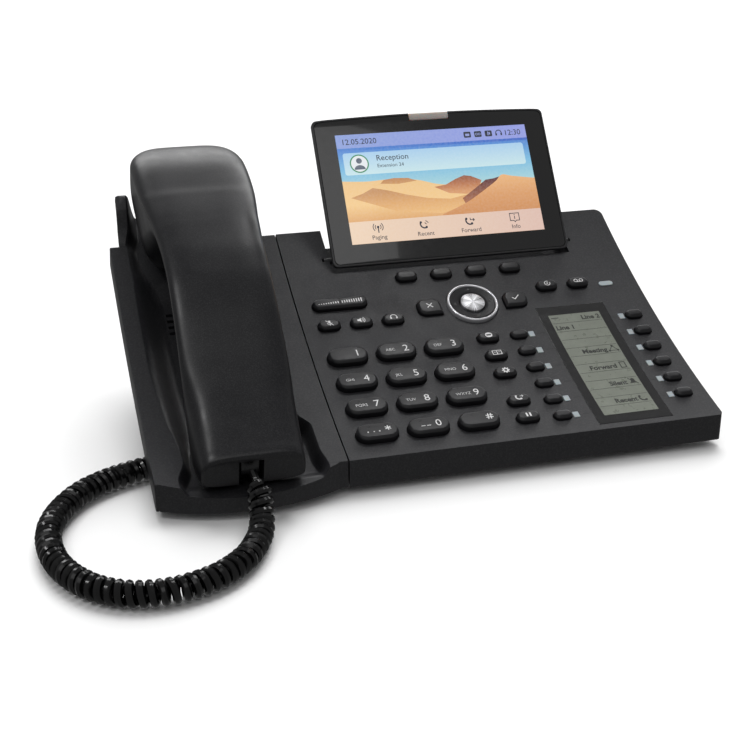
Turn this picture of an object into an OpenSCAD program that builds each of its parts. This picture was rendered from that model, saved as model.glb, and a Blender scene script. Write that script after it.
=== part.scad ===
// Desk telephone for office networks: sloping base, handset in a side cradle,
// tilting colour display, numeric keypad and a label display with line keys.
// Millimetres, +Z up, the front of the telephone faces -Y. The origin lies on the
// desk, below the middle of everything except the handset cord.

/* [Base] */
// Width of the base from its left to its right side
body_width = 240; // [236:1:250]
// Height of the front top edge above the desk
front_height = 15; // [14:0.5:18]
// Slope of the top face at the front edge, in degrees
slope_front = 15; // [14:0.5:16]
// Slope of the top face at the back edge, in degrees
slope_back = 31; // [30:0.5:32]
// Wall thickness of the plastic covers
wall = 2.2; // [2:0.1:2.4]

/* [Keys] */
// Height of the number keys above the top face
key_height = 3; // [2.4:0.1:3.4]
// Distance between the number key columns
key_pitch_x = 21.7; // [21:0.1:21.8]
// Distance between the number key rows
key_pitch_s = 16; // [15.5:0.1:16.2]
// Free gap round every key in its hole
key_gap = 0.35; // [0.3:0.05:0.4]

/* [Display] */
// Tilt of the display from horizontal, in degrees
display_tilt = 55; // [50:1:57]
// Thickness of the display housing
display_depth = 9; // [8.5:0.5:9.5]

/* [Handset] */
// Wall thickness of the handset shells
handset_wall = 2; // [1.8:0.1:2.4]
// Outer diameter of the curly cord
cord_d = 10; // [9:0.5:10]

/* [Hidden] */
$fn = 48;

// The part's own origin, in the drawing frame that starts at the base's front left
mid_x = body_width / 2;
mid_y = 73.3;
// Length of the top face measured along its curve, front to back
top_len = 142;
// Seam between the handset cradle and the main cover
seam_x = 76;
seam_gap = 0.2;
// Radius of the back right corner
corner_r = 4;
// Its centre from both sides, a little less so that the arc crosses them
corner_c = corner_r - 0.03;
// Depth of the side walls below the top face
rim = 12;
// Underside of the belly, below the top face
belly = 30;
// Height of the base's underside above the desk
foot_h = 2.6;
tub_l = 12;
tub_r = body_width - 14;

// ---- the curved top face: s runs along it, n stands square on it ----
bend = (slope_back - slope_front) / top_len;
bend_r = bend * PI / 180;
function ang(s) = slope_front + bend * min(max(s, 0), top_len);
function arc_y(s) = s < 0 ? s * cos(slope_front)
  : s > top_len ? arc_y(top_len) + (s - top_len) * cos(slope_back)
  : (sin(ang(s)) - sin(slope_front)) / bend_r;
function arc_z(s) = s < 0 ? front_height + s * sin(slope_front)
  : s > top_len ? arc_z(top_len) + (s - top_len) * sin(slope_back)
  : front_height + (cos(slope_front) - cos(ang(s))) / bend_r;
function at(s, n) = [arc_y(s) - n * sin(ang(s)), arc_z(s) + n * cos(ang(s))];
function run(s0, s1, n, k) = [for (i = [0:k]) at(s0 + (s1 - s0) * i / k, n)];
function back_run(s0, s1, n, k) = [for (i = [0:k]) at(s1 + (s0 - s1) * i / k, n)];

module place() translate([-mid_x, -mid_y, 0]) children();
module prism_x(x0, x1, pts)
  translate([x0, 0, 0]) rotate([90, 0, 90]) linear_extrude(x1 - x0) polygon(pts);
module band(x0, x1, s0, s1, n0, n1, k = 10)
  prism_x(x0, x1, concat(run(s0, s1, n1, k), back_run(s0, s1, n0, k)));
module on(x, s, n = 0)
  translate([x, at(s, n)[0], at(s, n)[1]]) rotate([ang(s), 0, 0]) children();
module block(x0, x1, y0, y1, z0, z1)
  translate([x0, y0, z0]) cube([x1 - x0, y1 - y0, z1 - z0]);

// A solid that joins a row of equal rings with flat end faces
function loft_faces(m, k) = concat(
  [[for (i = [m - 1:-1:0]) i]],
  [for (j = [0:k - 2]) for (i = [0:m - 1])
    [j * m + i, j * m + (i + 1) % m, (j + 1) * m + i]],
  [for (j = [0:k - 2]) for (i = [0:m - 1])
    [j * m + (i + 1) % m, (j + 1) * m + (i + 1) % m, (j + 1) * m + i]],
  [[for (i = [0:m - 1]) (k - 1) * m + i]]);
module loft(rings)
  polyhedron([for (r = rings) each r], loft_faces(len(rings[0]), len(rings)));

// ---- keys ----
key_row = [61, 61 - key_pitch_s, 61 - 2 * key_pitch_s, 61 - 3 * key_pitch_s];
function key_col(i) = 91 + i * key_pitch_x;
num_w = 17.6;
num_d = 9.2;
fun_w = 10;
fun_d = 5.6;
fun_h = 2.4;
line_w = 8;
line_d = 4.8;
line_h = 2;
line_pitch = 10.7;
line_left = 170.8;
line_right = 229.2;
nav_x = 156;
nav_s = 87;
nav_d = 23.6;
ok_d = 11;
corner_w = 11;
corner_d = 9.4;
// Depth of a key's flange, which stops the key under the cover
flange_n = 0.4 + wall;
stem_d = 3;

// Stadium with upright sides; grow adds a rim all round
module stadium(w, d, z0, z1, grow = 0) {
  r = d / 2 + grow;
  for (e = [-1, 1]) translate([e * (w - d) / 2, 0, z0]) cylinder(r = r, h = z1 - z0);
  translate([-(w - d) / 2, -r, z0]) cube([w - d, 2 * r, z1 - z0]);
}
// Stadium crown with a sloping edge
module stadium_crown(w, d, z0, h, c) {
  for (e = [-1, 1]) translate([e * (w - d) / 2, 0, z0])
    cylinder(r1 = d / 2, r2 = d / 2 - c, h = h);
  translate([-(w - d) / 2, 0, z0]) rotate([90, 0, 90]) linear_extrude(w - d)
    polygon([[-d / 2, 0], [d / 2, 0], [d / 2 - c, h], [c - d / 2, h]]);
}
module key_stem() translate([0, 0, -flange_n - 2.6]) cylinder(d = stem_d, h = 2);
module key_body(w, d, h) {
  stadium(w, d, -flange_n - 0.01, h - 0.8);
  stadium_crown(w, d, h - 0.81, 0.81, 0.9);
  stadium(w, d, -flange_n - 0.8, -flange_n, 0.8);
  key_stem();
}
module number_key(col, row) place() on(key_col(col), key_row[row])
  key_body(num_w, num_d, key_height);
module function_key(x, s, w = fun_w) place() on(x, s) key_body(w, fun_d, fun_h);
function line_s(i) = i < 6 ? 64.5 - i * line_pitch : 70 - (i - 6) * line_pitch;
function line_x(i) = i < 6 ? line_left : line_right;
module line_key(i) place() on(line_x(i), line_s(i)) key_body(line_w, line_d, line_h);

// Square key with three round corners; the sharp one points at the ring
module corner_key_shape(side, z0, z1, grow = 0) {
  w = corner_w + 2 * grow;
  d = corner_d + 2 * grow;
  r = 3.6 + grow;
  translate([0, 0, z0]) linear_extrude(z1 - z0) union() {
    square([w - 2 * r, d], center = true);
    square([w, d - 2 * r], center = true);
    for (c = [[-1, -1], [1, -1], [-1, 1], [1, 1]])
      translate([c[0] * (w / 2 - r), c[1] * (d / 2 - r)]) circle(r);
    translate([side > 0 ? 0 : -w / 2, -d / 2]) square([w / 2, d / 2]);
  }
}
module corner_key(x, s, side) place() on(x, s) {
  corner_key_shape(side, -flange_n - 0.01, 1.4);
  corner_key_shape(side, 1.39, 2.1, -0.5);
  corner_key_shape(side, -flange_n - 0.8, -flange_n, 0.7);
  key_stem();
}

// Places of the small keys, as [x, s]
fun_at = [[87.8, 81.6], [102.4, 81.6], [117, 81.6], [156, 64.3], [156, 52.7],
  [156, 41.1], [155.6, 23], [155.6, 12], [194.6, 93.8], [210.2, 93.8],
  [130.3, 107.8], [147.2, 107.8], [164.1, 107.8], [181, 107.8]];
cancel_at = [135.4, 87];
confirm_at = [176.6, 87];
volume_at = [95.6, 94.4];
volume_w = 25;
volume_d = 6.2;
message_light_at = [224.2, 92.4];

// Label display: its glass and the picture under it, as [from, to]
label_x = [184.2, 218];
label_s = [3, 80.6];
lcd_x = [187.4, 214.8];
lcd_s = [7, 76];
glass_n = -1.4;

// ---- display: u across, w up along the glass, t towards the user ----
disp_x0 = 98;
disp_x1 = 213.6;
disp_h = 71.8;
disp_arch = 1.4;
disp_foot = at(116.2, 2);
// Hinge line behind the lower edge of the glass
hinge_w = 5;
hinge_t = -6;
hinge_pin = 3;
bay_l = 97.4;
bay_r = 214.2;
bay_wall = 3.6;
bay_s = 115.2;
notch_s = 129.7;
module in_display()
  translate([0, disp_foot[0], disp_foot[1]]) rotate([display_tilt, 0, 0]) children();
function arch_r(w, h) = (w * w / 4 + h * h) / (2 * h);
// Outline of the display with its lightly arched top edge
module disp_outline(inset = 0) {
  w = disp_x1 - disp_x0;
  r = arch_r(w, disp_arch);
  c = 2.5;
  intersection() {
    union() {
      translate([disp_x0 + inset, inset + c])
        square([w - 2 * inset, disp_h - 2 * c - 2 * inset]);
      translate([disp_x0 + inset + c, inset])
        square([w - 2 * inset - 2 * c, disp_h + disp_arch - 2 * inset]);
      for (x = [disp_x0 + inset + c, disp_x1 - inset - c])
        for (y = [inset + c, disp_h - inset - c]) translate([x, y]) circle(c);
    }
    translate([(disp_x0 + disp_x1) / 2, disp_h + disp_arch - inset - r])
      circle(r, $fn = 360);
  }
}
module disp_plate(t0, t1, inset = 0)
  translate([0, 0, t0]) linear_extrude(t1 - t0) disp_outline(inset);
light_x0 = 145.8;
light_x1 = 165.6;
light_w = 69.4;
// Opening of the bezel for the screen, as [from, to]
view_u = [106, 206];
view_w = [8, 66];
bezel_t = 2.4;
// Box behind the bezel that holds the panel and the hinge, as [from, to]
box_u = [103, 208.6];
box_w = [2, 68.4];

// ---- cradle: the hollow that takes the handset ----
hook_s = 130;
hollow_floor = [[-20, -3], [-4, -3], [4, -6.5], [20, -6.5], [32, -9], [60, -10],
  [112, -10.5], [125, -5.5], [158, -5.5], [168, -3.5]];
hollow_side = [[-20, 0.15], [142, 0.15], [150, 4], [158, 9], [168, 14]];
hollow_left = [[-20, 8.5], [0, 8.5], [12, 12], [40, 8], [70, 6], [142, 7], [150, 9],
  [168, 9.5]];
hollow_slope = [[-20, 4], [12, 4], [40, 12], [70, 14], [110, 14], [135, 6], [168, 5]];
hollow_right = [[-20, 68.5], [0, 68.5], [10, 67], [23, 67], [32, 62.5], [105, 62],
  [120, 65], [142, 66], [150, 64.5], [168, 64.5]];
hollow_turn = 4;
function hollow_ring(s, e) = let (
    f = lookup(s, hollow_floor) - e,
    t = lookup(s, hollow_side) - e * 0.3,
    l = lookup(s, hollow_left) - e,
    g = lookup(s, hollow_slope),
    r = lookup(s, hollow_right) + e)
  [for (p = concat([[l, 30]],
      [for (i = [0:6]) [l + g * i / 6, t + (f - t) * (1 - cos(30 * i)) / 2]],
      [for (i = [6:-1:0]) [r - hollow_turn * i / 6, t + (f - t) * (1 - cos(30 * i)) / 2]],
      [[r, 30]]))
    [p[0], at(s, p[1])[0], at(s, p[1])[1]]];
hollow_steps = [-20, -8, -4, 0, 4, 8, 12, 20, 23, 26, 29, 32, 40, 55, 70, 85, 100, 106,
  112, 118, 121.5, 125, 135, 142, 145, 148, 152, 156, 159, 162, 165, 168];
module hollow(e = 0) loft([for (s = hollow_steps) hollow_ring(s, e)]);

// ---- handset: sections along s ----
hs_mid = 37;
// [s, top, parting, bottom, half width, fullness of the lower half]
hs_table = [
  [-5.4, 12.2, 2.6, -0.2, 19.4, 0.8],
  [-4.6, 13.4, 2.4, -1, 20.2, 0.8],
  [0, 15.2, 2.4, -3, 20.8, 0.9],
  [8, 18.2, 3.6, -5.6, 21.2, 1],
  [16, 21.4, 9, -6, 21.4, 0.7],
  [24, 24.6, 15.4, -4, 21.4, 0.4],
  [30, 27.2, 20.6, 1, 21.4, 0.2],
  [36, 29.8, 24.6, 7, 21.4, 0.1],
  [46, 34.4, 30, 14.6, 21.2, 0],
  [60, 40.2, 36.2, 22.4, 21, 0],
  [76, 44.6, 40.6, 28, 20.9, 0],
  [92, 46.4, 42, 29.4, 21.2, 0],
  [104, 46.4, 41.6, 27.6, 21.9, 0],
  [112, 46, 40.8, 23, 22.5, 0.1],
  [118, 45.4, 39.8, 15, 23.2, 0.3],
  [124, 44.6, 38.6, 1.5, 23.9, 0.6],
  [128, 44, 37.8, -4.4, 24.3, 0.9],
  [132, 43.2, 36.8, -5, 24.7, 1],
  [142, 41.4, 34.2, -5, 25.2, 1],
  [150, 39.6, 31.8, -5, 25.4, 1],
  [158, 37, 28.8, -3, 25.5, 1],
  [165, 33.8, 25.8, 1.5, 24.9, 1],
  [170, 31, 23.2, 6, 23.8, 1],
  [174, 28.2, 20.9, 10, 22, 1],
  [177.5, 25, 19.2, 13.4, 19.2, 1],
  [180, 21.8, 18.4, 15.8, 14.6, 1],
  [181.2, 19.8, 18, 17, 9.8, 1]];
function col(c, s) = lookup(s, [for (r = hs_table) [r[0], r[c]]]);
// Exponents of the sections: small ones give full corners, 1 a round arch
hs_p = 0.42;
crown = [[-5.4, 0.55], [8, 0.6], [24, 0.9], [181, 1]];
function half_ring(s, inset, up, m = 12) = let (
    p = col(2, s),
    top = min(col(1, s - inset), col(1, s), col(1, s + inset)) - inset,
    low = max(col(3, s - inset), col(3, s), col(3, s + inset)) + inset,
    n1 = up > 0 ? max(top, p + 0.6) : min(low, p - 0.1),
    w = col(4, s) - inset,
    full = col(5, s),
    px = up > 0 ? hs_p : 1.15 - 0.7 * full,
    pn = up > 0 ? lookup(s, crown) : 0.9 - 0.33 * full,
    lip = inset > 0 ? -up * 1 : 0)
  [for (i = [0:m]) let (
      a = up > 0 ? 180 * i / m : -180 * i / m,
      c = cos(a),
      q = abs(sin(a)),
      x = hs_mid + w * sign(c) * pow(abs(c), px),
      n = (i == 0 || i == m) ? p + lip : p + (n1 - p) * pow(q, pn))
    [x, at(s, n)[0], at(s, n)[1]]];
hs_steps = [for (r = hs_table) r[0]];
hs_inner = [-3.4, 1.5, 9.5, 17.5, 26, 33, 41, 51, 65, 81, 96, 106.5, 114, 120.5, 124,
  127, 130, 136, 145, 152.5, 160.5, 166.5, 171, 175.6];
module hs_half(inset, up)
  loft(up > 0 ? [for (s = inset > 0 ? hs_inner : hs_steps) half_ring(s, inset, up)]
    : [for (i = [len(inset > 0 ? hs_inner : hs_steps) - 1:-1:0])
      half_ring((inset > 0 ? hs_inner : hs_steps)[i], inset, up)]);

// ---- cord: the middle line of its coils, from the handset to the base ----
cord_route = [[36, -9, 20], [36.6, -13.5, 17.8], [37, -18.5, 13], [36.4, -22.5, 8],
  [35, -28, 5.4], [31.6, -36, 5.1], [26, -45, 5.1], [17, -53.4, 5.1], [6, -58.6, 5.1],
  [-5, -60.4, 5.1], [-16, -58.6, 5.1], [-26, -52.4, 5.1], [-34, -42, 5.1],
  [-39, -29, 5.1], [-40.6, -15, 5.1], [-39, -2, 5.1], [-34, 10, 5.1],
  [-27, 20, 5.1], [-18, 27.4, 5.1], [-8, 32.4, 5.1], [2, 35.6, 5.1], [tub_l, 37, 5.2]];
function bez(p, i, t) = let (
    a = p[max(i - 1, 0)], b = p[i], c = p[i + 1], d = p[min(i + 2, len(p) - 1)])
  b + (c - a) * t / 2 + (2 * a - 5 * b + 4 * c - d) * t * t / 2
    + (3 * b - a - 3 * c + d) * t * t * t / 2;
cord_pts = concat([for (i = [0:len(cord_route) - 2]) for (t = [0, 0.5])
  bez(cord_route, i, t)], [cord_route[len(cord_route) - 1]]);
function unit(v) = v / norm(v);
function cord_dir(i) = i == 0 ? unit([0.1, -0.9, -0.44])
  : i == len(cord_pts) - 1 ? [1, 0, 0]
  : unit(cord_pts[i + 1] - cord_pts[i - 1]);
function cord_ring(i) = let (
    d = cord_dir(i), h = unit(cross(d, [0, 0, 1])), v = cross(h, d))
  [for (k = [0:9]) cord_pts[i] + (h * cos(36 * k + 18) + v * sin(36 * k + 18)) * cord_d / 2];

// ================= base =================
module slab(x0, x1) prism_x(x0, x1, concat(run(0, top_len, 0, 22),
  back_run(0, top_len, -rim, 22), [[0, at(0, -rim)[1]]]));
module slab_cavity(x0, x1) prism_x(x0, x1, concat(run(wall, top_len - wall, -wall, 16),
  back_run(6, top_len - wall, -rim - 1, 16), [[wall, 1]], [[wall, at(wall, -wall)[1]]]));
// What rounds the back right corner, seen square on the top face
module back_corner() on(body_width - corner_c, top_len - corner_c, -rim - 6)
  difference() {
    cube([corner_r + 1, corner_r + 4, rim + 12]);
    translate([0, 0, -1]) cylinder(r = corner_r, h = rim + 14);
  }
// Solid left behind that corner, so that its wall has no hole
module back_corner_wall() on(body_width - corner_r - 3, top_len - corner_r - 3, -rim - 6)
  difference() {
    cube([corner_r + 3, corner_r + 6, rim + 12]);
    translate([0, 0, -1]) cylinder(r = corner_r, h = rim + 14);
  }
// What rounds the front right corner, seen from above
module front_corner() translate([body_width - 2, -1, -1]) difference() {
  cube([3, 3, 30]);
  translate([0, 3, -1]) cylinder(r = 2, h = 32);
}

module base_top_cover() color([0.2, 0.2, 0.21]) place() difference() {
  slab(seam_x + seam_gap, body_width);
  difference() {
    slab_cavity(seam_x + seam_gap + wall, body_width - wall);
    band(bay_l - bay_wall, bay_r + bay_wall, bay_s - 2, 150, -10, 0);
    band(bay_l - bay_wall, bay_r + bay_wall, notch_s - 2, 150, -16, -9);
    back_corner_wall();
  }
  back_corner();
  front_corner();
  // bay behind the display's foot, and the open notch in the back edge
  band(bay_l, bay_r, bay_s, 132, -8, 6);
  band(bay_l, bay_r, notch_s, 155, -rim - 4, 6);
  in_display() translate([bay_l - 3.2, hinge_w, hinge_t]) rotate([0, 90, 0])
    cylinder(d = hinge_pin + 0.1, h = bay_r - bay_l + 6.4);
  // number keys
  for (i = [0:2]) for (r = key_row)
    on(key_col(i), r) stadium(num_w, num_d, -6, 4, key_gap);
  for (p = fun_at) on(p[0], p[1]) stadium(fun_w, fun_d, -6, 4, key_gap);
  for (i = [0:11]) on(line_x(i), line_s(i)) stadium(line_w, line_d, -6, 4, key_gap);
  on(volume_at[0], volume_at[1]) stadium(volume_w, volume_d, -6, 4, key_gap);
  on(cancel_at[0], cancel_at[1]) corner_key_shape(1, -6, 4, key_gap);
  on(confirm_at[0], confirm_at[1]) corner_key_shape(-1, -6, 4, key_gap);
  on(nav_x, nav_s, -6) cylinder(d = nav_d + 2 * key_gap, h = 10, $fn = 96);
  // label display
  band(label_x[0], label_x[1], label_s[0], label_s[1], glass_n, 3);
  band(lcd_x[0], lcd_x[1], lcd_s[0], lcd_s[1], -6, 0);
  light_shapes(0.05);
}

light_pipe = [2.6, 3.4];
light_off = 6.1;
message_light = [7, 2.8];
module light_shapes(grow = 0) {
  over = grow > 0 ? 3 : 0;
  for (i = [0:11]) on(line_x(i) + (i < 6 ? light_off : -light_off), line_s(i))
    translate([-light_pipe[0] / 2 - grow, -light_pipe[1] / 2 - grow, -wall - 1])
      cube([light_pipe[0] + 2 * grow, light_pipe[1] + 2 * grow, wall + 1.2 + over]);
  on(message_light_at[0], message_light_at[1])
    stadium(message_light[0], message_light[1], -wall - 1, 0.3 + over, grow);
}
module status_lights() color([0.72, 0.72, 0.72]) place() light_shapes();

module label_screen() color([0.3, 0.33, 0.3]) place() {
  band(label_x[0] + 0.1, label_x[1] - 0.1, label_s[0] + 0.1, label_s[1] - 0.1,
    glass_n + 0.05, 0.15);
  band(lcd_x[0] + 0.6, lcd_x[1] - 0.6, lcd_s[0] + 0.6, lcd_s[1] - 0.6, -4.4, -1.3);
}

module handset_cradle() color([0.19, 0.19, 0.2]) place() difference() {
  union() {
    difference() {
      slab(0, seam_x - seam_gap);
      slab_cavity(wall, seam_x - seam_gap - wall);
    }
    intersection() {
      hollow(2.2);
      band(0.01, seam_x - seam_gap, 0.1, top_len, -20, -0.01);
    }
    // ears beside the head of the handset
    intersection() {
      hollow(4.5);
      prism_x(4.4, 66.6, [at(141, -20), at(161, -20), at(163.6, 0), at(164, 8),
        at(162.6, 11.4), at(159.6, 12.4), at(155, 10), at(149, 4.4),
        at(144, 1), at(141, -0.1)]);
    }
    // front wall, bowed forward
    intersection() {
      translate([37, 67.6, 3.4]) cylinder(r = 76.3, h = 20, $fn = 360);
      prism_x(1.5, 73.5, [[-12, 3.4], [2.3, 3.4], [2.3, at(0, 0)[1] + 0.55],
        [0, at(0, 0)[1]], [-12, front_height - 12 * tan(slope_front)]]);
    }
  }
  hollow();
  // slots over the loudspeaker
  for (i = [0:3]) on(20.4, 96 + 3.6 * i, -24) cube([8, 1.6, 20]);
  on(hs_mid, hook_s, -24) translate([-4.2, -3, 0]) cube([8.4, 6, 20]);
}

module tub(x0, x1, e) prism_x(x0, x1, concat(
  [[8 + e, foot_h + e], [62 - e * 0.2, foot_h + e]],
  run(75, 135 - e, e - belly, 10), back_run(12, 135 - e, -rim + (e > 0 ? 1 : 0), 12),
  [[8 + e, 5 + (e > 0 ? 4 : 0)]]));
module base_bottom_cover() color([0.13, 0.13, 0.14]) place() difference() {
  union() {
    band(0.8, body_width - 0.8, 4, 141.4, -rim - 2, -rim - 0.05, 16);
    tub(tub_l, tub_r, 0);
  }
  tub(tub_l + 2, tub_r - 2, 2);
  translate([0, 0, -0.3]) hollow(2.2);
  // network sockets, handset socket, foot pockets
  for (x = socket_x) block(x - socket_w / 2 - 0.4, x + socket_w / 2 + 0.4, 124, 145,
    socket_z - 0.4, socket_z + socket_h + 0.4);
  block(tub_l - 1, tub_l + 3, 33, 41, 4.6, 11);
  for (p = foot_at) translate([p[0], p[1], 0]) cylinder(d = foot_d + 0.1, h = foot_h + 0.9);
}
// Network sockets: their middles, the level of their floors and their mouths
socket_x = [130, 150];
socket_z = 40;
socket_w = 12.4;
socket_h = 8.6;
foot_at = [[33, 12.5], [44, 12.5], [196, 12.5], [207, 12.5]];

stand_x = [[40, 62], [178, 200]];
stand_pts = concat([[123, 2.4], [139.6, 2.4], [140.6, 30]],
  back_run(116, 134, -belly - 0.05, 4), [[121, 22]]);
stand_foot_y = 131.5;
foot_d = 7;
stand_foot_d = 12;
module foot_stand() color([0.15, 0.15, 0.16]) place() difference() {
  union() {
    for (p = stand_x) prism_x(p[0], p[1], stand_pts);
    prism_x(stand_x[0][0], stand_x[1][1], [[123, 4], [139, 4], [139, 2.4], [123, 2.4]]);
    prism_x(stand_x[0][0], stand_x[1][1], [[123, 2.4], [125.4, 2.4], [125.4, 12],
      [123, 12]]);
  }
  for (p = stand_x) prism_x(p[0] + 2.4, p[1] - 2.4, [[126, 4.4], [150, 4.4],
    [150, 44], at(131, -belly - 3), at(121, -belly - 3)]);
  for (p = stand_x) translate([(p[0] + p[1]) / 2, stand_foot_y, 0])
    cylinder(d = stand_foot_d + 0.1, h = 3);
}

module rubber_feet() color([0.08, 0.08, 0.08]) place() {
  for (p = foot_at) translate([p[0], p[1], 0]) cylinder(d = foot_d, h = foot_h + 0.9);
  for (p = stand_x) translate([(p[0] + p[1]) / 2, stand_foot_y, 0])
    cylinder(d = stand_foot_d, h = 3);
}

// Circuit board with the two network sockets and the handset socket
module main_board() color([0.1, 0.35, 0.2]) place() {
  difference() {
    union() {
      prism_x(82, 222, [[12, 8], [118, 48], [118, 46.4], [12, 6.4]]);
      block(socket_x[0] - 9, socket_x[1] + 9, 115, 128.6, socket_z - 1.6, socket_z + 9.6);
    }
    for (x = socket_x) block(x - socket_w / 2, x + socket_w / 2, 116.6, 140,
      socket_z, socket_z + socket_h);
  }
}

module loudspeaker() color([0.3, 0.3, 0.32]) place() on(38, 92, -26) {
  cylinder(d = 36, h = 3);
  translate([0, 0, 2.9]) cylinder(d = 30, h = 4);
  translate([0, 0, -1.4]) cylinder(d = 16, h = 1.5);
}

module hook_switch() color([0.1, 0.1, 0.1]) place() on(hs_mid, hook_s) {
  translate([-3.4, -2.2, -20]) cube([6.8, 4.4, 14.9]);
  translate([-5.4, -2.2, -12.4]) cube([10.8, 4.4, 1.2]);
}

// ================= display =================
module display_bezel() color([0.12, 0.12, 0.13]) place() in_display() difference() {
  disp_plate(-bezel_t, 0);
  disp_plate(-1.7, 1, 1);
  translate([view_u[0], view_w[0], -5])
    cube([view_u[1] - view_u[0], view_w[1] - view_w[0], 6]);
  translate([light_x0 - 0.05, light_w - 0.05, -5]) cube([light_x1 - light_x0 + 0.1, 6, 6]);
}
module display_screen() color([0.25, 0.4, 0.6]) place() in_display() difference() {
  union() {
    disp_plate(-1.6, -0.2, 1.1);
    block(view_u[0] + 0.2, view_u[1] - 0.2, view_w[0] + 0.2, view_w[1] - 0.2, -6, -1.5);
  }
  translate([light_x0 - 0.1, light_w - 0.1, -8]) cube([light_x1 - light_x0 + 0.2, 6, 9]);
}
module display_back_cover() color([0.14, 0.14, 0.15]) place() in_display() {
  difference() {
    block(box_u[0], box_u[1], box_w[0], box_w[1], -display_depth, -bezel_t);
    block(box_u[0] + wall, box_u[1] - wall, view_w[0] - 0.4, view_w[1] + 0.4,
      wall - 0.4 - display_depth, 0);
  }
  for (x = [disp_x0 - 3, box_u[1] - 1]) translate([x, hinge_w, hinge_t])
    rotate([0, 90, 0]) cylinder(d = hinge_pin, h = 9);
}
module call_light() color([0.8, 0.8, 0.8]) place() in_display()
  block(light_x0, light_x1, light_w, light_w + 3.7, -bezel_t, 0.1);

// ================= handset =================
module hs_shell(up) difference() {
  union() {
    difference() {
      hs_half(0, up);
      hs_half(handset_wall, up);
    }
    // housing round the cord's plug
    intersection() {
      hs_half(0, up);
      band(29, 43, -5.3, 6, -9, 13, 2);
    }
  }
  band(31.2, 40.8, -8, 3, -10, 10.8, 2);
}
module handset_outer_shell() color([0.1, 0.1, 0.11]) place() hs_shell(1);
module handset_inner_shell() color([0.1, 0.1, 0.11]) place() difference() {
  hs_shell(-1);
  // sound openings of the ear piece and the mouth piece
  on(hs_mid, 138, -9.5) cylinder(d = 24, h = 5);
  for (k = [-2:2]) on(hs_mid + 3.4 * k, 138, -9) cylinder(d = 1.8, h = 9, $fn = 16);
  on(hs_mid, 15, -9) cylinder(d = 2, h = 9, $fn = 16);
}
module handset_cord() color([0.05, 0.05, 0.05]) place()
  loft([for (i = [len(cord_pts) - 1:-1:0]) cord_ring(i)]);

// ================= keys =================
module key_1() color([0.07, 0.07, 0.08]) number_key(0, 0);
module key_2() color([0.07, 0.07, 0.08]) number_key(1, 0);
module key_3() color([0.07, 0.07, 0.08]) number_key(2, 0);
module key_4() color([0.07, 0.07, 0.08]) number_key(0, 1);
module key_5() color([0.07, 0.07, 0.08]) number_key(1, 1);
module key_6() color([0.07, 0.07, 0.08]) number_key(2, 1);
module key_7() color([0.07, 0.07, 0.08]) number_key(0, 2);
module key_8() color([0.07, 0.07, 0.08]) number_key(1, 2);
module key_9() color([0.07, 0.07, 0.08]) number_key(2, 2);
module key_star() color([0.07, 0.07, 0.08]) number_key(0, 3);
module key_0() color([0.07, 0.07, 0.08]) number_key(1, 3);
module key_hash() color([0.07, 0.07, 0.08]) number_key(2, 3);
module small_key(i) color([0.08, 0.08, 0.09]) function_key(fun_at[i][0], fun_at[i][1]);
module mute_key() small_key(0);
module speaker_key() small_key(1);
module headset_key() small_key(2);
module dnd_key() small_key(3);
module directory_key() small_key(4);
module menu_key() small_key(5);
module transfer_key() small_key(6);
module hold_key() small_key(7);
module retrieve_key() small_key(8);
module message_key() small_key(9);
module soft_key_1() small_key(10);
module soft_key_2() small_key(11);
module soft_key_3() small_key(12);
module soft_key_4() small_key(13);
module cancel_key() color([0.08, 0.08, 0.09]) corner_key(cancel_at[0], cancel_at[1], 1);
module confirm_key() color([0.08, 0.08, 0.09])
  corner_key(confirm_at[0], confirm_at[1], -1);
module volume_rocker() color([0.07, 0.07, 0.08]) place()
  on(volume_at[0], volume_at[1]) {
    stadium(volume_w, volume_d, -flange_n - 1.2, 1.6);
    stadium_crown(volume_w, volume_d, 1.59, 0.8, 0.9);
    stadium(volume_w, volume_d, -flange_n - 2, -flange_n - 1.2, 0.7);
  }
module nav_ring() color([0.5, 0.5, 0.5]) place() on(nav_x, nav_s) difference() {
  union() {
    translate([0, 0, -flange_n - 0.6]) cylinder(d = nav_d, h = flange_n + 1.8, $fn = 96);
    translate([0, 0, 1.19]) cylinder(d1 = nav_d, d2 = nav_d - 1.4, h = 0.7, $fn = 96);
    translate([0, 0, -flange_n - 1.4]) cylinder(d = nav_d + 1.8, h = 0.8, $fn = 96);
  }
  translate([0, 0, -8]) cylinder(d = ok_d + 0.8, h = 12, $fn = 96);
}
module ok_button() color([0.7, 0.7, 0.7]) place() on(nav_x, nav_s) {
  translate([0, 0, -5]) cylinder(d = ok_d, h = 6.6, $fn = 72);
  translate([0, 0, 1.59]) cylinder(d1 = ok_d, d2 = ok_d - 0.8, h = 0.4, $fn = 72);
}
module line_part(i) color([0.08, 0.08, 0.09]) line_key(i);
module line_key_1() line_part(0);
module line_key_2() line_part(1);
module line_key_3() line_part(2);
module line_key_4() line_part(3);
module line_key_5() line_part(4);
module line_key_6() line_part(5);
module line_key_7() line_part(6);
module line_key_8() line_part(7);
module line_key_9() line_part(8);
module line_key_10() line_part(9);
module line_key_11() line_part(10);
module line_key_12() line_part(11);

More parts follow.
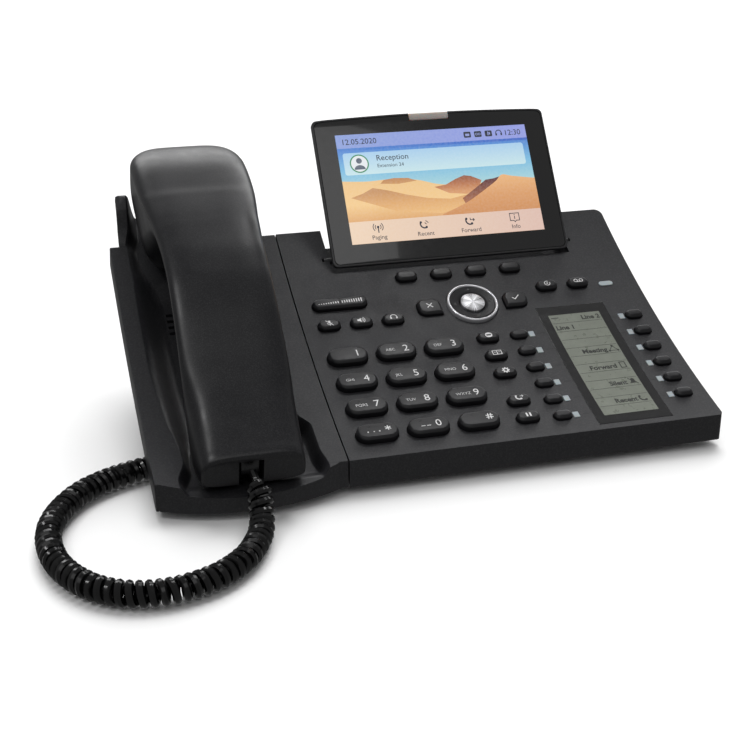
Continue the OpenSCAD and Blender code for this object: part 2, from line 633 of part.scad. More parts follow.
// ================= drawing =================
base_top_cover();
handset_cradle();
base_bottom_cover();
foot_stand();
rubber_feet();
main_board();
loudspeaker();
hook_switch();
display_bezel();
display_screen();
display_back_cover();
call_light();
label_screen();
status_lights();
handset_outer_shell();
handset_inner_shell();
handset_cord();
key_1();
key_2();
key_3();
key_4();
key_5();
key_6();
key_7();
key_8();
key_9();
key_star();
key_0();
key_hash();
volume_rocker();
mute_key();
speaker_key();
headset_key();
cancel_key();
confirm_key();
nav_ring();
ok_button();
dnd_key();
directory_key();
menu_key();
transfer_key();
hold_key();
retrieve_key();
message_key();
soft_key_1();
soft_key_2();
soft_key_3();
soft_key_4();
line_key_1();
line_key_2();
line_key_3();
line_key_4();
line_key_5();
line_key_6();
line_key_7();
line_key_8();
line_key_9();
line_key_10();
line_key_11();
line_key_12();
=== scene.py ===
"""Looks of the desk telephone: every visible piece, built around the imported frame.

Sizes are millimetres in the drawing frame of the design (x from the left side, y from the
front top edge, z from the desk) and are turned into metres of the shared frame by place().
"""

import math

import bmesh
import bpy
from mathutils import Matrix, Vector


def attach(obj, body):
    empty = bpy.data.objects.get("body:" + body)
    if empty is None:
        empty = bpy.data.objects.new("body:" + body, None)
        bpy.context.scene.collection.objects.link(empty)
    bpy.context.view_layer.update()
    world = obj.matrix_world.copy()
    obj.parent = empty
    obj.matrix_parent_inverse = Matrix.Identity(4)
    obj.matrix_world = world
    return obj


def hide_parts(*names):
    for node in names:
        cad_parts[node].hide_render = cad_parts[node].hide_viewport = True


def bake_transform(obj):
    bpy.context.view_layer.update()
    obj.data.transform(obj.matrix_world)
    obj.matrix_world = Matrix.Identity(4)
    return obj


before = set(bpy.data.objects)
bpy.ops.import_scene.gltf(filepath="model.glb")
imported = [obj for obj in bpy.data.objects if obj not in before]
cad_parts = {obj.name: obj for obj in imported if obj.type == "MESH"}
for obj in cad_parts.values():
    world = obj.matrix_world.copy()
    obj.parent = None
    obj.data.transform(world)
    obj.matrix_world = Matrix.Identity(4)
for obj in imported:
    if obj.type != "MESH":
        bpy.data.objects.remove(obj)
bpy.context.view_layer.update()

# ---- driving sizes, the same as the design's ----
MM = 0.001
MID_X, MID_Y = 120, 73.3
FRONT_HEIGHT, TOP_LEN = 15, 142
SLOPE_FRONT, SLOPE_BACK = 15, 31
RIM = 12
SEAM_X, SEAM_GAP = 76, 0.2
KEY_SIZE, KEY_HEIGHT = (17.6, 9.2), 3
KEY_COLUMNS, KEY_ROWS = (91, 112.7, 134.4), (61, 45, 29, 13)
SMALL_SIZE, SMALL_HEIGHT = (10, 5.6), 2.4
LINE_SIZE, LINE_HEIGHT, LINE_PITCH = (8, 4.8), 2, 10.7
LINE_X, LINE_TOP = (170.8, 229.2), (64.5, 70)
CORNER_SIZE, CORNER_HEIGHT = (11, 9.4), 2.1
NAV_X, NAV_S, NAV_D, OK_D = 156, 87, 23.6, 11
VOLUME_X, VOLUME_S, VOLUME_SIZE = 95.6, 94.4, (25, 6.2)
LABEL_X, LABEL_S = (184.2, 218), (3, 80.6)
DISPLAY_X, DISPLAY_H, DISPLAY_ARCH, DISPLAY_TILT = (98, 213.6), 71.8, 1.4, 55
BEZEL_T = 2.4
PANEL_U, PANEL_W = (108.3, 203.3), (10.1, 64)
CALL_LIGHT = (145.8, 165.6, 69.4)
HANDSET_X = 37
HOOK_S = 130
CORD_D, CORD_WIRE, CORD_PITCH = 10, 3.1, 3.55


# ---- places ----
def slope(s):
    """Slope of the top face at s, in radians."""
    share = min(max(s, 0), TOP_LEN) / TOP_LEN
    return math.radians(SLOPE_FRONT + (SLOPE_BACK - SLOPE_FRONT) * share)


BEND = math.radians(SLOPE_BACK - SLOPE_FRONT) / TOP_LEN


def at(s, n):
    """(y, z) of the point n above the top face at s along its curve."""
    a, inner = slope(s), min(max(s, 0), TOP_LEN)
    y = (math.sin(slope(inner)) - math.sin(slope(0))) / BEND + (s - inner) * math.cos(a)
    z = (math.cos(slope(0)) - math.cos(slope(inner))) / BEND + (s - inner) * math.sin(a)
    return y - n * math.sin(a), FRONT_HEIGHT + z + n * math.cos(a)


def place(x, y, z):
    """A point of the drawing frame, in metres of the shared frame."""
    return Vector((x - MID_X, y - MID_Y, z)) * MM


def top_point(x, s, n):
    return place(x, *at(s, n))


def on_top(x, s, n=0):
    """Matrix of a spot on the top face: X right, Y up the slope, Z square off it."""
    return Matrix.Translation(top_point(x, s, n)) @ Matrix.Rotation(slope(s), 4, "X")


DISPLAY_FOOT = at(116.2, 2)


def on_display(u, w, t=0):
    """Matrix of a spot on the display: X across, Y up the glass, Z towards the user."""
    turn = Matrix.Rotation(math.radians(DISPLAY_TILT), 4, "X")
    return Matrix.Translation(place(0, *DISPLAY_FOOT)) @ turn @ Matrix.Translation(
        Vector((u, w, t)) * MM
    )


# ---- objects, and the camera first ----
def put(name, data):
    """A new object in the scene."""
    made = bpy.data.objects.new(name, data)
    bpy.context.scene.collection.objects.link(made)
    return made


def make_camera():
    camera = put("camera", bpy.data.cameras.new("camera"))
    camera.data.lens, camera.data.sensor_width = 64.3, 36
    camera.location = (-0.16366, -0.5206, 0.24188)
    camera.rotation_euler = [math.radians(v) for v in (67.935, 0, -15.885)]
    camera.data.clip_start, camera.data.clip_end = 0.02, 60
    bpy.context.scene.camera = camera


make_camera()


# ---- materials ----
def linear(r, g, b):
    """A colour given as 8-bit screen values, in linear light."""

    def one(v):
        v /= 255
        return v / 12.92 if v <= 0.04045 else ((v + 0.055) / 1.055) ** 2.4

    return (one(r), one(g), one(b), 1)


def mixed(a, b, share):
    return tuple(p + (q - p) * share for p, q in zip(a, b))


# The colour sockets of a Mix node: factor, A and B, and the result
MIX_INPUTS, MIX_OUTPUT = (0, 6, 7), 2


class Shader:
    """A material with one Principled shader, built node by node."""

    def __init__(self, name, **sockets):
        self.material = bpy.data.materials.new(name)
        self.material.use_nodes = True
        self.nodes = self.material.node_tree.nodes
        self.links = self.material.node_tree.links
        self.shader = self.nodes["Principled BSDF"]
        for socket, value in sockets.items():
            self.shader.inputs[socket.replace("_", " ")].default_value = value
        self.coords = self.nodes.new("ShaderNodeTexCoord").outputs["Object"]

    def feed(self, socket, value):
        """Links a socket to an output, or gives it a plain value."""
        if isinstance(value, bpy.types.NodeSocket):
            self.links.new(value, socket)
        else:
            socket.default_value = value

    def node(self, kind, output, **sockets):
        """The output of a new node, whose sockets are given values or linked to outputs."""
        made = self.nodes.new("ShaderNode" + kind)
        for name, value in sockets.items():
            self.feed(made.inputs[name.replace("_", " ")], value)
        return made.outputs[output]

    def noise(self, size, detail, roughness=0.6):
        """Noise whose grains are about size millimetres."""
        scale = 1 / (size * MM)
        return self.node(
            "TexNoise", "Fac", Vector=self.coords, Scale=scale, Detail=detail, Roughness=roughness
        )

    def spread(self, value, low, high, start=0.3, end=0.7):
        """The value's range from start to end, spread from low to high."""
        return self.node(
            "MapRange", "Result", Value=value, From_Min=start, From_Max=end, To_Min=low, To_Max=high
        )

    def ramp(self, value, stops):
        node = self.nodes.new("ShaderNodeValToRGB")
        elements = node.color_ramp.elements
        while len(elements) < len(stops):
            elements.new(0.5)
        for element, (position, colour) in zip(elements, stops):
            element.position, element.color = position, colour
        self.links.new(value, node.inputs["Fac"])
        return node.outputs["Color"]

    def mix(self, share, a, b):
        node = self.nodes.new("ShaderNodeMix")
        node.data_type = "RGBA"
        for index, value in zip(MIX_INPUTS, (share, a, b)):
            self.feed(node.inputs[index], value)
        return node.outputs[MIX_OUTPUT]

    def calculate(self, operation, value, number=0):
        node = self.nodes.new("ShaderNodeMath")
        node.operation = operation
        node.inputs[1].default_value = number
        self.links.new(value, node.inputs[0])
        return node.outputs[0]

    def bump(self, value, depth):
        """Relief of a depth in millimetres."""
        self.set("Normal", self.node("Bump", "Normal", Distance=depth * MM, Height=value))

    def set(self, socket, value):
        self.links.new(value, self.shader.inputs[socket])


def moulded_plastic(name, colour, rough, grain=0.45, depth=0.012, edge_wear_and_highlight=0):
    """Moulded plastic: spark texture, faint mottling, smudges and lighter edges, partly wear and
    partly a painted edge highlight.
    """
    made = Shader(name)
    mottled = made.spread(made.noise(24, 4), 0, 1)
    colour_out = made.mix(mottled, mixed(colour, (0, 0, 0, 1), 0.1), colour)
    speckle = made.spread(made.noise(grain * 1.6, 2), 0, 0.16, 0.45, 0.75)
    colour_out = made.mix(speckle, colour_out, mixed(colour, (1, 1, 1, 1), 0.12))
    if edge_wear_and_highlight:
        # Lighter colour on sharp edges: partly edge wear, partly a painted highlight along the edges.
        pointed = made.nodes.new("ShaderNodeNewGeometry").outputs["Pointiness"]
        rubbed_and_highlit_edges = made.spread(pointed, 0, edge_wear_and_highlight, 0.52, 0.6)
        colour_out = made.mix(rubbed_and_highlit_edges, colour_out, mixed(colour, (1, 1, 1, 1), 0.16))
    made.set("Base Color", colour_out)
    smudge = made.noise(9, 5, 0.65)
    made.set("Roughness", made.spread(smudge, rough - 0.05, rough + 0.05))
    made.bump(made.noise(grain, 2, 0.5), depth)
    return made.material


def glossy_plastic(name, colour, rough, **sockets):
    """Smooth satin plastic with fine scratches and finger smudges."""
    made = Shader(name, **sockets)
    mottled = made.spread(made.noise(6, 4), 0, 1)
    made.set("Base Color", made.mix(mottled, mixed(colour, (0, 0, 0, 1), 0.15), colour))
    smudge = made.noise(3.5, 5, 0.7)
    made.set("Roughness", made.spread(smudge, rough - 0.06, rough + 0.08))
    made.bump(made.noise(0.5, 3, 0.5), 0.004)
    return made.material


def metal(name, colour, rough, radial=False):
    """Metal with a fine finish; radial gives a turned face with streaks to its middle, and painted
    highlights: five light and dark sectors around it.
    """
    made = Shader(name, Metallic=0.6)
    if radial:
        angle = made.nodes.new("ShaderNodeTexGradient")
        angle.gradient_type = "RADIAL"
        made.links.new(made.coords, angle.inputs["Vector"])
        streak = made.nodes.new("ShaderNodeTexNoise")
        streak.noise_dimensions = "1D"
        streak.inputs["Scale"].default_value = 60
        streak.inputs["Detail"].default_value = 6
        made.links.new(angle.outputs["Fac"], streak.inputs["W"])
        # Painted highlight: light and dark sectors around the middle, standing in for the sheen of a
        # turned face.
        turns = made.calculate("MULTIPLY", angle.outputs["Fac"], math.tau * 5)
        wide = made.spread(made.calculate("SINE", turns), 0, 1, -1, 1)
        sector_highlighted_colour = made.mix(wide, mixed(colour, (0, 0, 0, 1), 0.75), colour)
        fine = made.spread(streak.outputs["Fac"], 0, 0.5)
        made.set("Base Color", made.mix(fine, sector_highlighted_colour, mixed(colour, (1, 1, 1, 1), 0.5)))
        made.set("Roughness", made.spread(streak.outputs["Fac"], rough, rough + 0.15))
        made.bump(streak.outputs["Fac"], 0.01)
    else:
        tarnish = made.spread(made.noise(4, 4), 0, 0.3)
        made.set("Base Color", made.mix(tarnish, colour, mixed(colour, (0, 0, 0, 1), 0.3)))
        made.set("Roughness", made.spread(made.noise(2, 4), rough, rough + 0.08))
        made.bump(made.noise(0.6, 3), 0.002)
    return made.material


def lit(name, stops, span, axis, strength):
    """A lit part of a picture: colours along one axis of the piece, between span."""
    made = Shader(name, Roughness=0.35, Coat_Weight=0.5, Coat_Roughness=0.05)
    split = made.nodes.new("ShaderNodeSeparateXYZ")
    made.links.new(made.coords, split.inputs[0])
    low, high = (v * MM for v in span)
    along = made.spread(split.outputs[axis], 0, 1, low, high)
    colour = made.ramp(along, stops)
    grain = made.spread(made.noise(1.2, 4), 0, 0.1)
    colour = made.mix(grain, colour, (1, 1, 1, 1))
    dim = made.mix(0.86, colour, (0, 0, 0, 1))
    made.set("Base Color", dim)
    made.set("Emission Color", colour)
    made.shader.inputs["Emission Strength"].default_value = strength
    return made.material


COVER = moulded_plastic("cover_plastic", linear(30, 30, 33), 0.44)
LOWER = moulded_plastic("lower_plastic", linear(24, 24, 26), 0.52)
HANDSET = moulded_plastic("handset_plastic", linear(13, 13, 17), 0.36, grain=0.3, depth=0.003)
RUBBER = moulded_plastic("foot_rubber", linear(30, 30, 30), 0.8, depth=0.03)
BEZEL = moulded_plastic("bezel_plastic", linear(28, 28, 30), 0.4, depth=0.008, edge_wear_and_highlight=0.25)
KEY = glossy_plastic("key_plastic", linear(20, 20, 23), 0.32)
CORD = glossy_plastic("cord_jacket", linear(10, 10, 11), 0.18)
GLASS = glossy_plastic("dark_glass", linear(16, 16, 17), 0.12, Coat_Weight=1)
PIPE = glossy_plastic("light_pipe", linear(172, 172, 172), 0.35, Subsurface_Weight=0.25)
CHROME = metal("chrome_rim", linear(236, 236, 240), 0.14)
SILVER = metal("turned_silver", linear(228, 228, 232), 0.24, radial=True)
STEEL = metal("speaker_metal", linear(110, 110, 114), 0.35)
PRINT = glossy_plastic("white_print", linear(226, 226, 226), 0.5)
# A dark colour painted where the shade inside grooves falls.
GROOVE_SHADE = glossy_plastic("groove_shadow", linear(22, 22, 23), 0.6)
BOARD = glossy_plastic("circuit_board", linear(24, 86, 46), 0.4)
GLOSS_BLACK = glossy_plastic("gloss_black", linear(22, 22, 24), 0.25)


# ---- mesh tools ----
def finish_piece(name, mesh, material, body, matrix=None, even=False, replaces=None):
    """Puts a mesh into the scene as a piece that rides on a body.

    even keeps large faces flat in their shading, beside narrow rounded edges.
    replaces names the node of the design that the piece stands for.
    """
    piece = put(name, mesh)
    mesh.name = name
    mesh.materials.clear()
    mesh.materials.append(material)
    mesh.shade_smooth()
    mesh.set_sharp_from_angle(angle=math.radians(35))
    if even:
        shading = piece.modifiers.new("even_shading", "WEIGHTED_NORMAL")
        shading.keep_sharp = True
    if matrix is not None:
        piece.matrix_world = matrix
    if body:
        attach(piece, body)
    if replaces:
        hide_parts(replaces)
    return piece


def mesh_of(verts, faces):
    mesh = bpy.data.meshes.new("mesh")
    mesh.from_pydata([tuple(v) for v in verts], [], faces)
    mesh.update()
    return mesh


def outward(mesh):
    """Welds a mesh and turns all its faces outward."""
    work = bmesh.new()
    work.from_mesh(mesh)
    bmesh.ops.remove_doubles(work, verts=work.verts, dist=1e-7)
    bmesh.ops.recalc_face_normals(work, faces=work.faces)
    work.to_mesh(mesh)
    work.free()
    return mesh


def ring_at(outline, height):
    """A flat outline at a height, both in millimetres, as points in metres."""
    return [Vector((x, y, height)) * MM for x, y in outline]


def loft(rings, closed_ends=True):
    """A mesh through a row of rings with equal numbers of points."""
    count = len(rings[0])
    verts = [p for ring in rings for p in ring]
    faces = [
        (
            j * count + i, j * count + (i + 1) % count, (j + 1) * count + (i + 1) % count,
            (j + 1) * count + i
        )
        for j in range(len(rings) - 1) for i in range(count)
    ]
    if closed_ends:
        faces.append(tuple(range(count - 1, -1, -1)))
        faces.append(tuple((len(rings) - 1) * count + i for i in range(count)))
    return outward(mesh_of(verts, faces))


def prism_x(x0, x1, outline):
    """A solid between x0 and x1 over an outline of (y, z) points."""
    return loft([[place(x, y, z) for y, z in outline] for x in (x0, x1)])


def arc_strip(s0, s1, n, steps):
    return [at(s0 + (s1 - s0) * i / steps, n) for i in range(steps + 1)]


def band(x0, x1, s0, s1, n0, n1, steps=36):
    """A solid that follows the top face between two heights over it."""
    outline = arc_strip(s0, s1, n1, steps) + arc_strip(s1, s0, n0, steps)
    return prism_x(x0, x1, outline)


def carve(mesh, tool, operation="DIFFERENCE"):
    """The first mesh cut by, joined with or kept inside the second."""
    holders = [put("carving", m) for m in (mesh, tool)]
    change = holders[0].modifiers.new("carve", "BOOLEAN")
    change.operation, change.solver, change.object = operation, "EXACT", holders[1]
    seen = holders[0].evaluated_get(bpy.context.evaluated_depsgraph_get())
    made = bpy.data.meshes.new_from_object(seen)
    for holder in holders:
        bpy.data.objects.remove(holder)
    return made


def soften(mesh, width, angle=38, flat=0.3):
    """Rounds every sharp edge by width millimetres."""
    work = bmesh.new()
    work.from_mesh(mesh)
    bmesh.ops.remove_doubles(work, verts=work.verts, dist=2e-6)
    bmesh.ops.dissolve_limit(
        work, angle_limit=math.radians(flat), verts=work.verts, edges=work.edges
    )
    sharp = [e for e in work.edges if e.is_manifold and e.calc_face_angle(0) > math.radians(angle)]
    bmesh.ops.bevel(
        work, geom=sharp, offset=width * MM, segments=2, profile=0.5, affect="EDGES",
        clamp_overlap=True
    )
    work.to_mesh(mesh)
    work.free()
    return mesh


def curve_shading(mesh):
    """Shades the faces along the top face by the normals of its true curve."""
    low, high = slope(0), slope(TOP_LEN)

    def true_way(point):
        rise = math.sin(low) + (point.y / MM + MID_Y) * BEND
        a = math.asin(min(max(rise, math.sin(low)), math.sin(high)))
        return Vector((0, -math.sin(a), math.cos(a)))

    curved = set()
    for face in mesh.polygons:
        if face.normal.dot(true_way(face.center)) > 0.9997:
            curved.update(face.vertices)
    ways = []
    for face in mesh.polygons:
        for loop in face.loop_indices:
            vertex = mesh.loops[loop].vertex_index
            way = true_way(mesh.vertices[vertex].co)
            along = vertex in curved and face.normal.dot(way) > 0.6
            ways.append(way if along else mesh.corner_normals[loop].vector.copy())
    mesh.normals_split_custom_set(ways)


def refined(node, width, material, body, curved=False):
    """The design's own solid with its edges rounded, in place of the plain node."""
    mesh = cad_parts[node].data.copy()
    mesh = soften(mesh, width, flat=0.001 if curved else 0.3)
    even = not curved
    finish_piece(node + "_shell", mesh, material, body, even=even, replaces=node)
    if curved:
        curve_shading(mesh)


def stadium(width, depth, grow):
    """Outline of a bar with round ends."""
    steps = 14
    r, reach = depth / 2 + grow, (width - depth) / 2
    turn = [math.pi * (i / steps - 0.5) for i in range(steps + 1)]
    right = [(reach + r * math.cos(a), r * math.sin(a)) for a in turn]
    return right + [(-x, -y) for x, y in right]


def rounded(width, depth, radii, grow=0, steps=7):
    """Outline of a rectangle with four corner radii, from the lower right, leftwards up."""
    w, d = width / 2 + grow, depth / 2 + grow
    corners = ((1, -1, 270), (1, 1, 0), (-1, 1, 90), (-1, -1, 180))
    outline = []
    for (sx, sy, start), radius in zip(corners, radii):
        r = max(radius + grow, 0.12)
        for i in range(steps + 1):
            a = math.radians(start + 90 * i / steps)
            outline.append((sx * (w - r) + r * math.cos(a), sy * (d - r) + r * math.sin(a)))
    return outline


# How a key's side turns into its top: (inset, depth below the top)
KEY_EDGE = (
    (0, 1.1), (0.04, 0.94), (0.16, 0.8), (0.42, 0.52), (0.68, 0.24), (0.82, 0.1), (1.05, 0.02),
    (1.35, 0)
)
KEY_FOOT = -3


def key_mesh(outline, height):
    """A key cap: upright sides, a sloping shoulder and a flat top face."""
    rings = [ring_at(outline(-inset), height - drop) for inset, drop in KEY_EDGE]
    return loft([ring_at(outline(0), KEY_FOOT)] + rings)


def lathe(profile, steps=96):
    """A closed turned solid from (radius, height) points."""
    rings = []
    for i in range(steps):
        a = math.tau * i / steps
        rings.append([Vector((r * math.cos(a), r * math.sin(a), h)) * MM for r, h in profile])
    rings.append(rings[0])
    return loft(rings, closed_ends=False)


# ---- prints: flat marks in white or black ----
class Print:
    """Flat marks on one plane, gathered into one thin solid."""

    def __init__(self):
        self.verts, self.faces = [], []

    def add(self, verts, faces):
        start = len(self.verts)
        self.verts += [Vector((*v[:2], 0)) * MM for v in verts]
        self.faces += [tuple(i + start for i in face) for face in faces]
        return self

    def shape(self, outline):
        return self.add(outline, [tuple(range(len(outline)))])

    def disc(self, x, y, r, steps=20):
        turn = [math.tau * i / steps for i in range(steps)]
        return self.shape([(x + r * math.cos(a), y + r * math.sin(a)) for a in turn])

    def bar(self, x, y, w, h):
        return self.shape([(x, y), (x + w, y), (x + w, y + h), (x, y + h)])

    def line(self, points, width, closed=False):
        """A ribbon along points with mitred corners."""
        pts = [Vector(p) for p in points]
        count, sides = len(pts), []
        for i, p in enumerate(pts):
            before = pts[i - 1] if i or closed else None
            after = pts[(i + 1) % count] if i < count - 1 or closed else None
            d0 = (p - before).normalized() if before is not None else None
            d1 = (after - p).normalized() if after is not None else None
            d = ((d0 or d1) + (d1 or d0)).normalized()
            normal = Vector((-d.y, d.x))
            reach = width / 2 / max(normal.dot(Vector((-(d1 or d0).y, (d1 or d0).x))), 0.4)
            sides += [p + normal * reach, p - normal * reach]
        joins = range(count if closed else count - 1)
        m = 2 * count
        faces = [(2 * i, 2 * i + 1, (2 * i + 3) % m, (2 * i + 2) % m) for i in joins]
        return self.add(sides, faces)

    def ring(self, x, y, r, width, start=0, end=360):
        steps = max(6, int(abs(end - start) / 15))
        whole = abs(end - start) >= 360
        turn = [
            math.radians(start + (end - start) * i / steps)
            for i in range(steps if whole else steps + 1)
        ]
        points = [(x + r * math.cos(a), y + r * math.sin(a)) for a in turn]
        return self.line(points, width, closed=whole)

    def word(self, text, size, x, y, align="LEFT", bold=0.003):
        """Characters of Blender's own font; bold widens their strokes."""
        curve = bpy.data.curves.new("word", "FONT")
        curve.body, curve.size, curve.align_x = text, size, align
        curve.resolution_u, curve.offset = 3, bold * size
        holder = bpy.data.objects.new("word", curve)
        flat = bpy.data.meshes.new_from_object(holder)
        verts = [(v.co.x + x, v.co.y + y) for v in flat.vertices]
        self.add(verts, [tuple(p.vertices) for p in flat.polygons])
        bpy.data.objects.remove(holder)
        return self

    def piece(self, name, material, body, slot, matrix, thick=0.04):
        mesh = mesh_of(self.verts, self.faces)
        work = bmesh.new()
        work.from_mesh(mesh)
        bmesh.ops.remove_doubles(work, verts=work.verts, dist=1e-8)
        bmesh.ops.recalc_face_normals(work, faces=work.faces)
        for face in work.faces:
            if face.normal.z < 0:
                face.normal_flip()
        raised = bmesh.ops.extrude_face_region(work, geom=work.faces[:])["geom"]
        lifted = [v for v in raised if isinstance(v, bmesh.types.BMVert)]
        bmesh.ops.translate(work, verts=lifted, vec=(0, 0, thick * MM))
        bmesh.ops.recalc_face_normals(work, faces=work.faces)
        work.to_mesh(mesh)
        work.free()
        return finish_piece(name, mesh, material, body, matrix)


def wrapped(piece_mesh, n):
    """Lays a flat mesh, whose X and Y are x and s, onto the top face at height n."""
    for v in piece_mesh.vertices:
        v.co = top_point(v.co.x / MM, v.co.y / MM, n + v.co.z / MM)
    return piece_mesh


# ---- the curly cord ----
# Middle line of the coils, the same route as in the design
CORD_ROUTE = [
    (36, -9, 20), (36.6, -13.5, 17.8), (37, -18.5, 13), (36.4, -22.5, 8), (35, -28, 5.4),
    (31.6, -36, 5.1), (26, -45, 5.1), (17, -53.4, 5.1), (6, -58.6, 5.1), (-5, -60.4, 5.1),
    (-16, -58.6, 5.1), (-26, -52.4, 5.1), (-34, -42, 5.1), (-39, -29, 5.1), (-40.6, -15, 5.1),
    (-39, -2, 5.1), (-34, 10, 5.1), (-27, 20, 5.1), (-18, 27.4, 5.1), (-8, 32.4, 5.1),
    (2, 35.6, 5.1), (12, 37, 5.2)
]


def catmull(points, steps):
    """A smooth curve through the points."""
    made = []
    for i in range(len(points) - 1):
        a, b, c, d = (Vector(points[min(max(i + k, 0), len(points) - 1)]) for k in (-1, 0, 1, 2))
        for j in range(steps):
            t = j / steps
            made.append(
                b
                + (c - a) * t / 2
                + (2 * a - 5 * b + 4 * c - d) * t * t / 2
                + (3 * b - a - 3 * c + d) * t**3 / 2
            )
    return made + [Vector(points[-1])]


def evenly(points, gap):
    """(points, directions) spaced gap apart along a polyline."""
    spots, ways, left = [points[0]], [(points[1] - points[0]).normalized()], gap
    for a, b in zip(points, points[1:]):
        length, way = (b - a).length, (b - a).normalized()
        while left <= length:
            spots.append(a + way * left)
            ways.append(way)
            left += gap
        left -= length
    return spots, ways


def carried_frames(ways):
    """A side and an up vector for each direction, carried along without twisting."""
    side = ways[0].cross(Vector((0, 0, 1))).normalized()
    frames = []
    for way in ways:
        side = (side - way * side.dot(way)).normalized()
        frames.append((side, way.cross(side)))
    return frames


def tube(spots, radius):
    """A round tube of one radius along close points."""
    ways = [
        (spots[min(i + 1, len(spots) - 1)] - spots[max(i - 1, 0)]).normalized()
        for i in range(len(spots))
    ]
    turn, rings = [math.tau * k / 8 for k in range(8)], []
    for spot, (side, up) in zip(spots, carried_frames(ways)):
        rings.append([(spot + (side * math.cos(a) + up * math.sin(a)) * radius) * MM for a in turn])
    return loft(rings)


def make_cord():
    step = CORD_PITCH / 16
    axis, ways = evenly(catmull([place(*p) / MM for p in CORD_ROUTE], 12), step)
    coil_r, straight, run_in = (CORD_D - CORD_WIRE) / 2, 3.5, 5
    spots = []
    for i, (spot, (side, up)) in enumerate(zip(axis, carried_frames(ways))):
        along, behind = i * step, (len(axis) - 1 - i) * step
        share = min(1, max(0, along - straight) / run_in, behind / 7)
        radius = coil_r * share * share * (3 - 2 * share)
        a = math.tau * along / CORD_PITCH
        spots.append(spot + (side * math.cos(a) + up * math.sin(a)) * radius)
    cord = finish_piece(
        "curly_cord", tube(spots, CORD_WIRE / 2), CORD, None
    )
    path = [place(*p) for p in CORD_ROUTE]
    smooth_path = [p * MM for p in evenly(catmull([q / MM for q in path], 12), 2)[0]]
    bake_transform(cord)
    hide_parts("handset_cord")


make_cord()


# ---- the handset ----
def eased(table, s, column=1):
    """A smooth curve through one column of a table whose first column is s."""
    rows = [(row[0], row[column]) for row in table]
    if s <= rows[0][0]:
        return rows[0][1]
    if s >= rows[-1][0]:
        return rows[-1][1]
    i = max(k for k in range(len(rows) - 1) if rows[k][0] <= s)
    (s0, v0), (s1, v1) = rows[i], rows[i + 1]

    def lean(k):
        if k <= 0 or k >= len(rows) - 1:
            j = 0 if k <= 0 else len(rows) - 2
            return (rows[j + 1][1] - rows[j][1]) / (rows[j + 1][0] - rows[j][0])
        before = (rows[k][1] - rows[k - 1][1]) / (rows[k][0] - rows[k - 1][0])
        after = (rows[k + 1][1] - rows[k][1]) / (rows[k + 1][0] - rows[k][0])
        return 0 if before * after <= 0 else 2 * before * after / (before + after)

    h = s1 - s0
    t = (s - s0) / h
    return (
        v0 * (1 + 2 * t) * (1 - t) ** 2
        + lean(i) * h * t * (1 - t) ** 2
        + v1 * t * t * (3 - 2 * t)
        + lean(i + 1) * h * t * t * (t - 1)
    )


# (s, top, parting, bottom, half width, fullness of the lower half)
HANDSET_TABLE = (
    (-5.4, 12.2, 2.6, -0.2, 19.4, 0.8), (-4.6, 13.4, 2.4, -1, 20.2, 0.8),
    (0, 15.2, 2.4, -3, 20.8, 0.9), (8, 18.2, 3.6, -5.6, 21.2, 1), (16, 21.4, 9, -6, 21.4, 0.7),
    (24, 24.6, 15.4, -4, 21.4, 0.4), (30, 27.2, 20.6, 1, 21.4, 0.2), (36, 29.8, 24.6, 7, 21.4, 0.1),
    (46, 34.4, 30, 14.6, 21.2, 0), (60, 40.2, 36.2, 22.4, 21, 0), (76, 44.6, 40.6, 28, 20.9, 0),
    (92, 46.4, 42, 29.4, 21.2, 0), (104, 46.4, 41.6, 27.6, 21.9, 0), (112, 46, 40.8, 23, 22.5, 0.1),
    (118, 45.4, 39.8, 15, 23.2, 0.3), (124, 44.6, 38.6, 1.5, 23.9, 0.6),
    (128, 44, 37.8, -4.4, 24.3, 0.9), (132, 43.2, 36.8, -5, 24.7, 1),
    (142, 41.4, 34.2, -5, 25.2, 1), (150, 39.6, 31.8, -5, 25.4, 1), (158, 37, 28.8, -3, 25.5, 1),
    (165, 33.8, 25.8, 1.5, 24.9, 1), (170, 31, 23.2, 6, 23.8, 1), (174, 28.2, 20.9, 10, 22, 1),
    (177.5, 25, 19.2, 13.4, 19.2, 1), (180, 21.8, 18.4, 15.8, 14.6, 1),
    (181.2, 19.8, 18, 17, 9.8, 1)
)
HANDSET_CROWN = ((-5.4, 0.55), (8, 0.6), (24, 0.9), (181.2, 1))
HANDSET_START, HANDSET_END = HANDSET_TABLE[0][0], HANDSET_TABLE[-1][0]
SIDE_POWER = 0.42
PARTING_GROOVE = 0.35


def handset_ring(s, up, steps=44):
    """Half an outline of the handset at s; up is 1 above the parting and -1 below."""
    top, parting, bottom, half, full = (eased(HANDSET_TABLE, s, c) for c in range(1, 6))
    edge = top if up > 0 else min(bottom, parting - 0.1)
    across = SIDE_POWER if up > 0 else 1.15 - 0.7 * full
    rise = eased(HANDSET_CROWN, s) if up > 0 else 0.9 - 0.33 * full
    ring = [top_point(HANDSET_X + half - PARTING_GROOVE, s, parting)]
    for i in range(steps + 1):
        a = math.pi * i / steps
        c, q = math.cos(a), abs(math.sin(a))
        x = HANDSET_X + half * math.copysign(abs(c) ** across, c)
        lift = up * PARTING_GROOVE / 2 if i in (0, steps) else 0
        n = parting + lift + (edge - parting - lift) * q**rise
        ring.append(top_point(x, s, n))
    ring.append(top_point(HANDSET_X - half + PARTING_GROOVE, s, parting))
    return ring


def handset_rings(up, steps=150):
    """Sections from end to end, closer together at both rounded ends."""
    middle, reach = (HANDSET_START + HANDSET_END) / 2, (HANDSET_END - HANDSET_START) / 2
    spots = [middle - reach * math.cos(math.pi * i / steps) for i in range(steps + 1)]
    return [handset_ring(s, up) for s in spots]


PLUG_X, PLUG_N = (31.2, 40.8), (-10, 10.8)


def plug_recess():
    return band(*PLUG_X, -8, 3, *PLUG_N, steps=2)


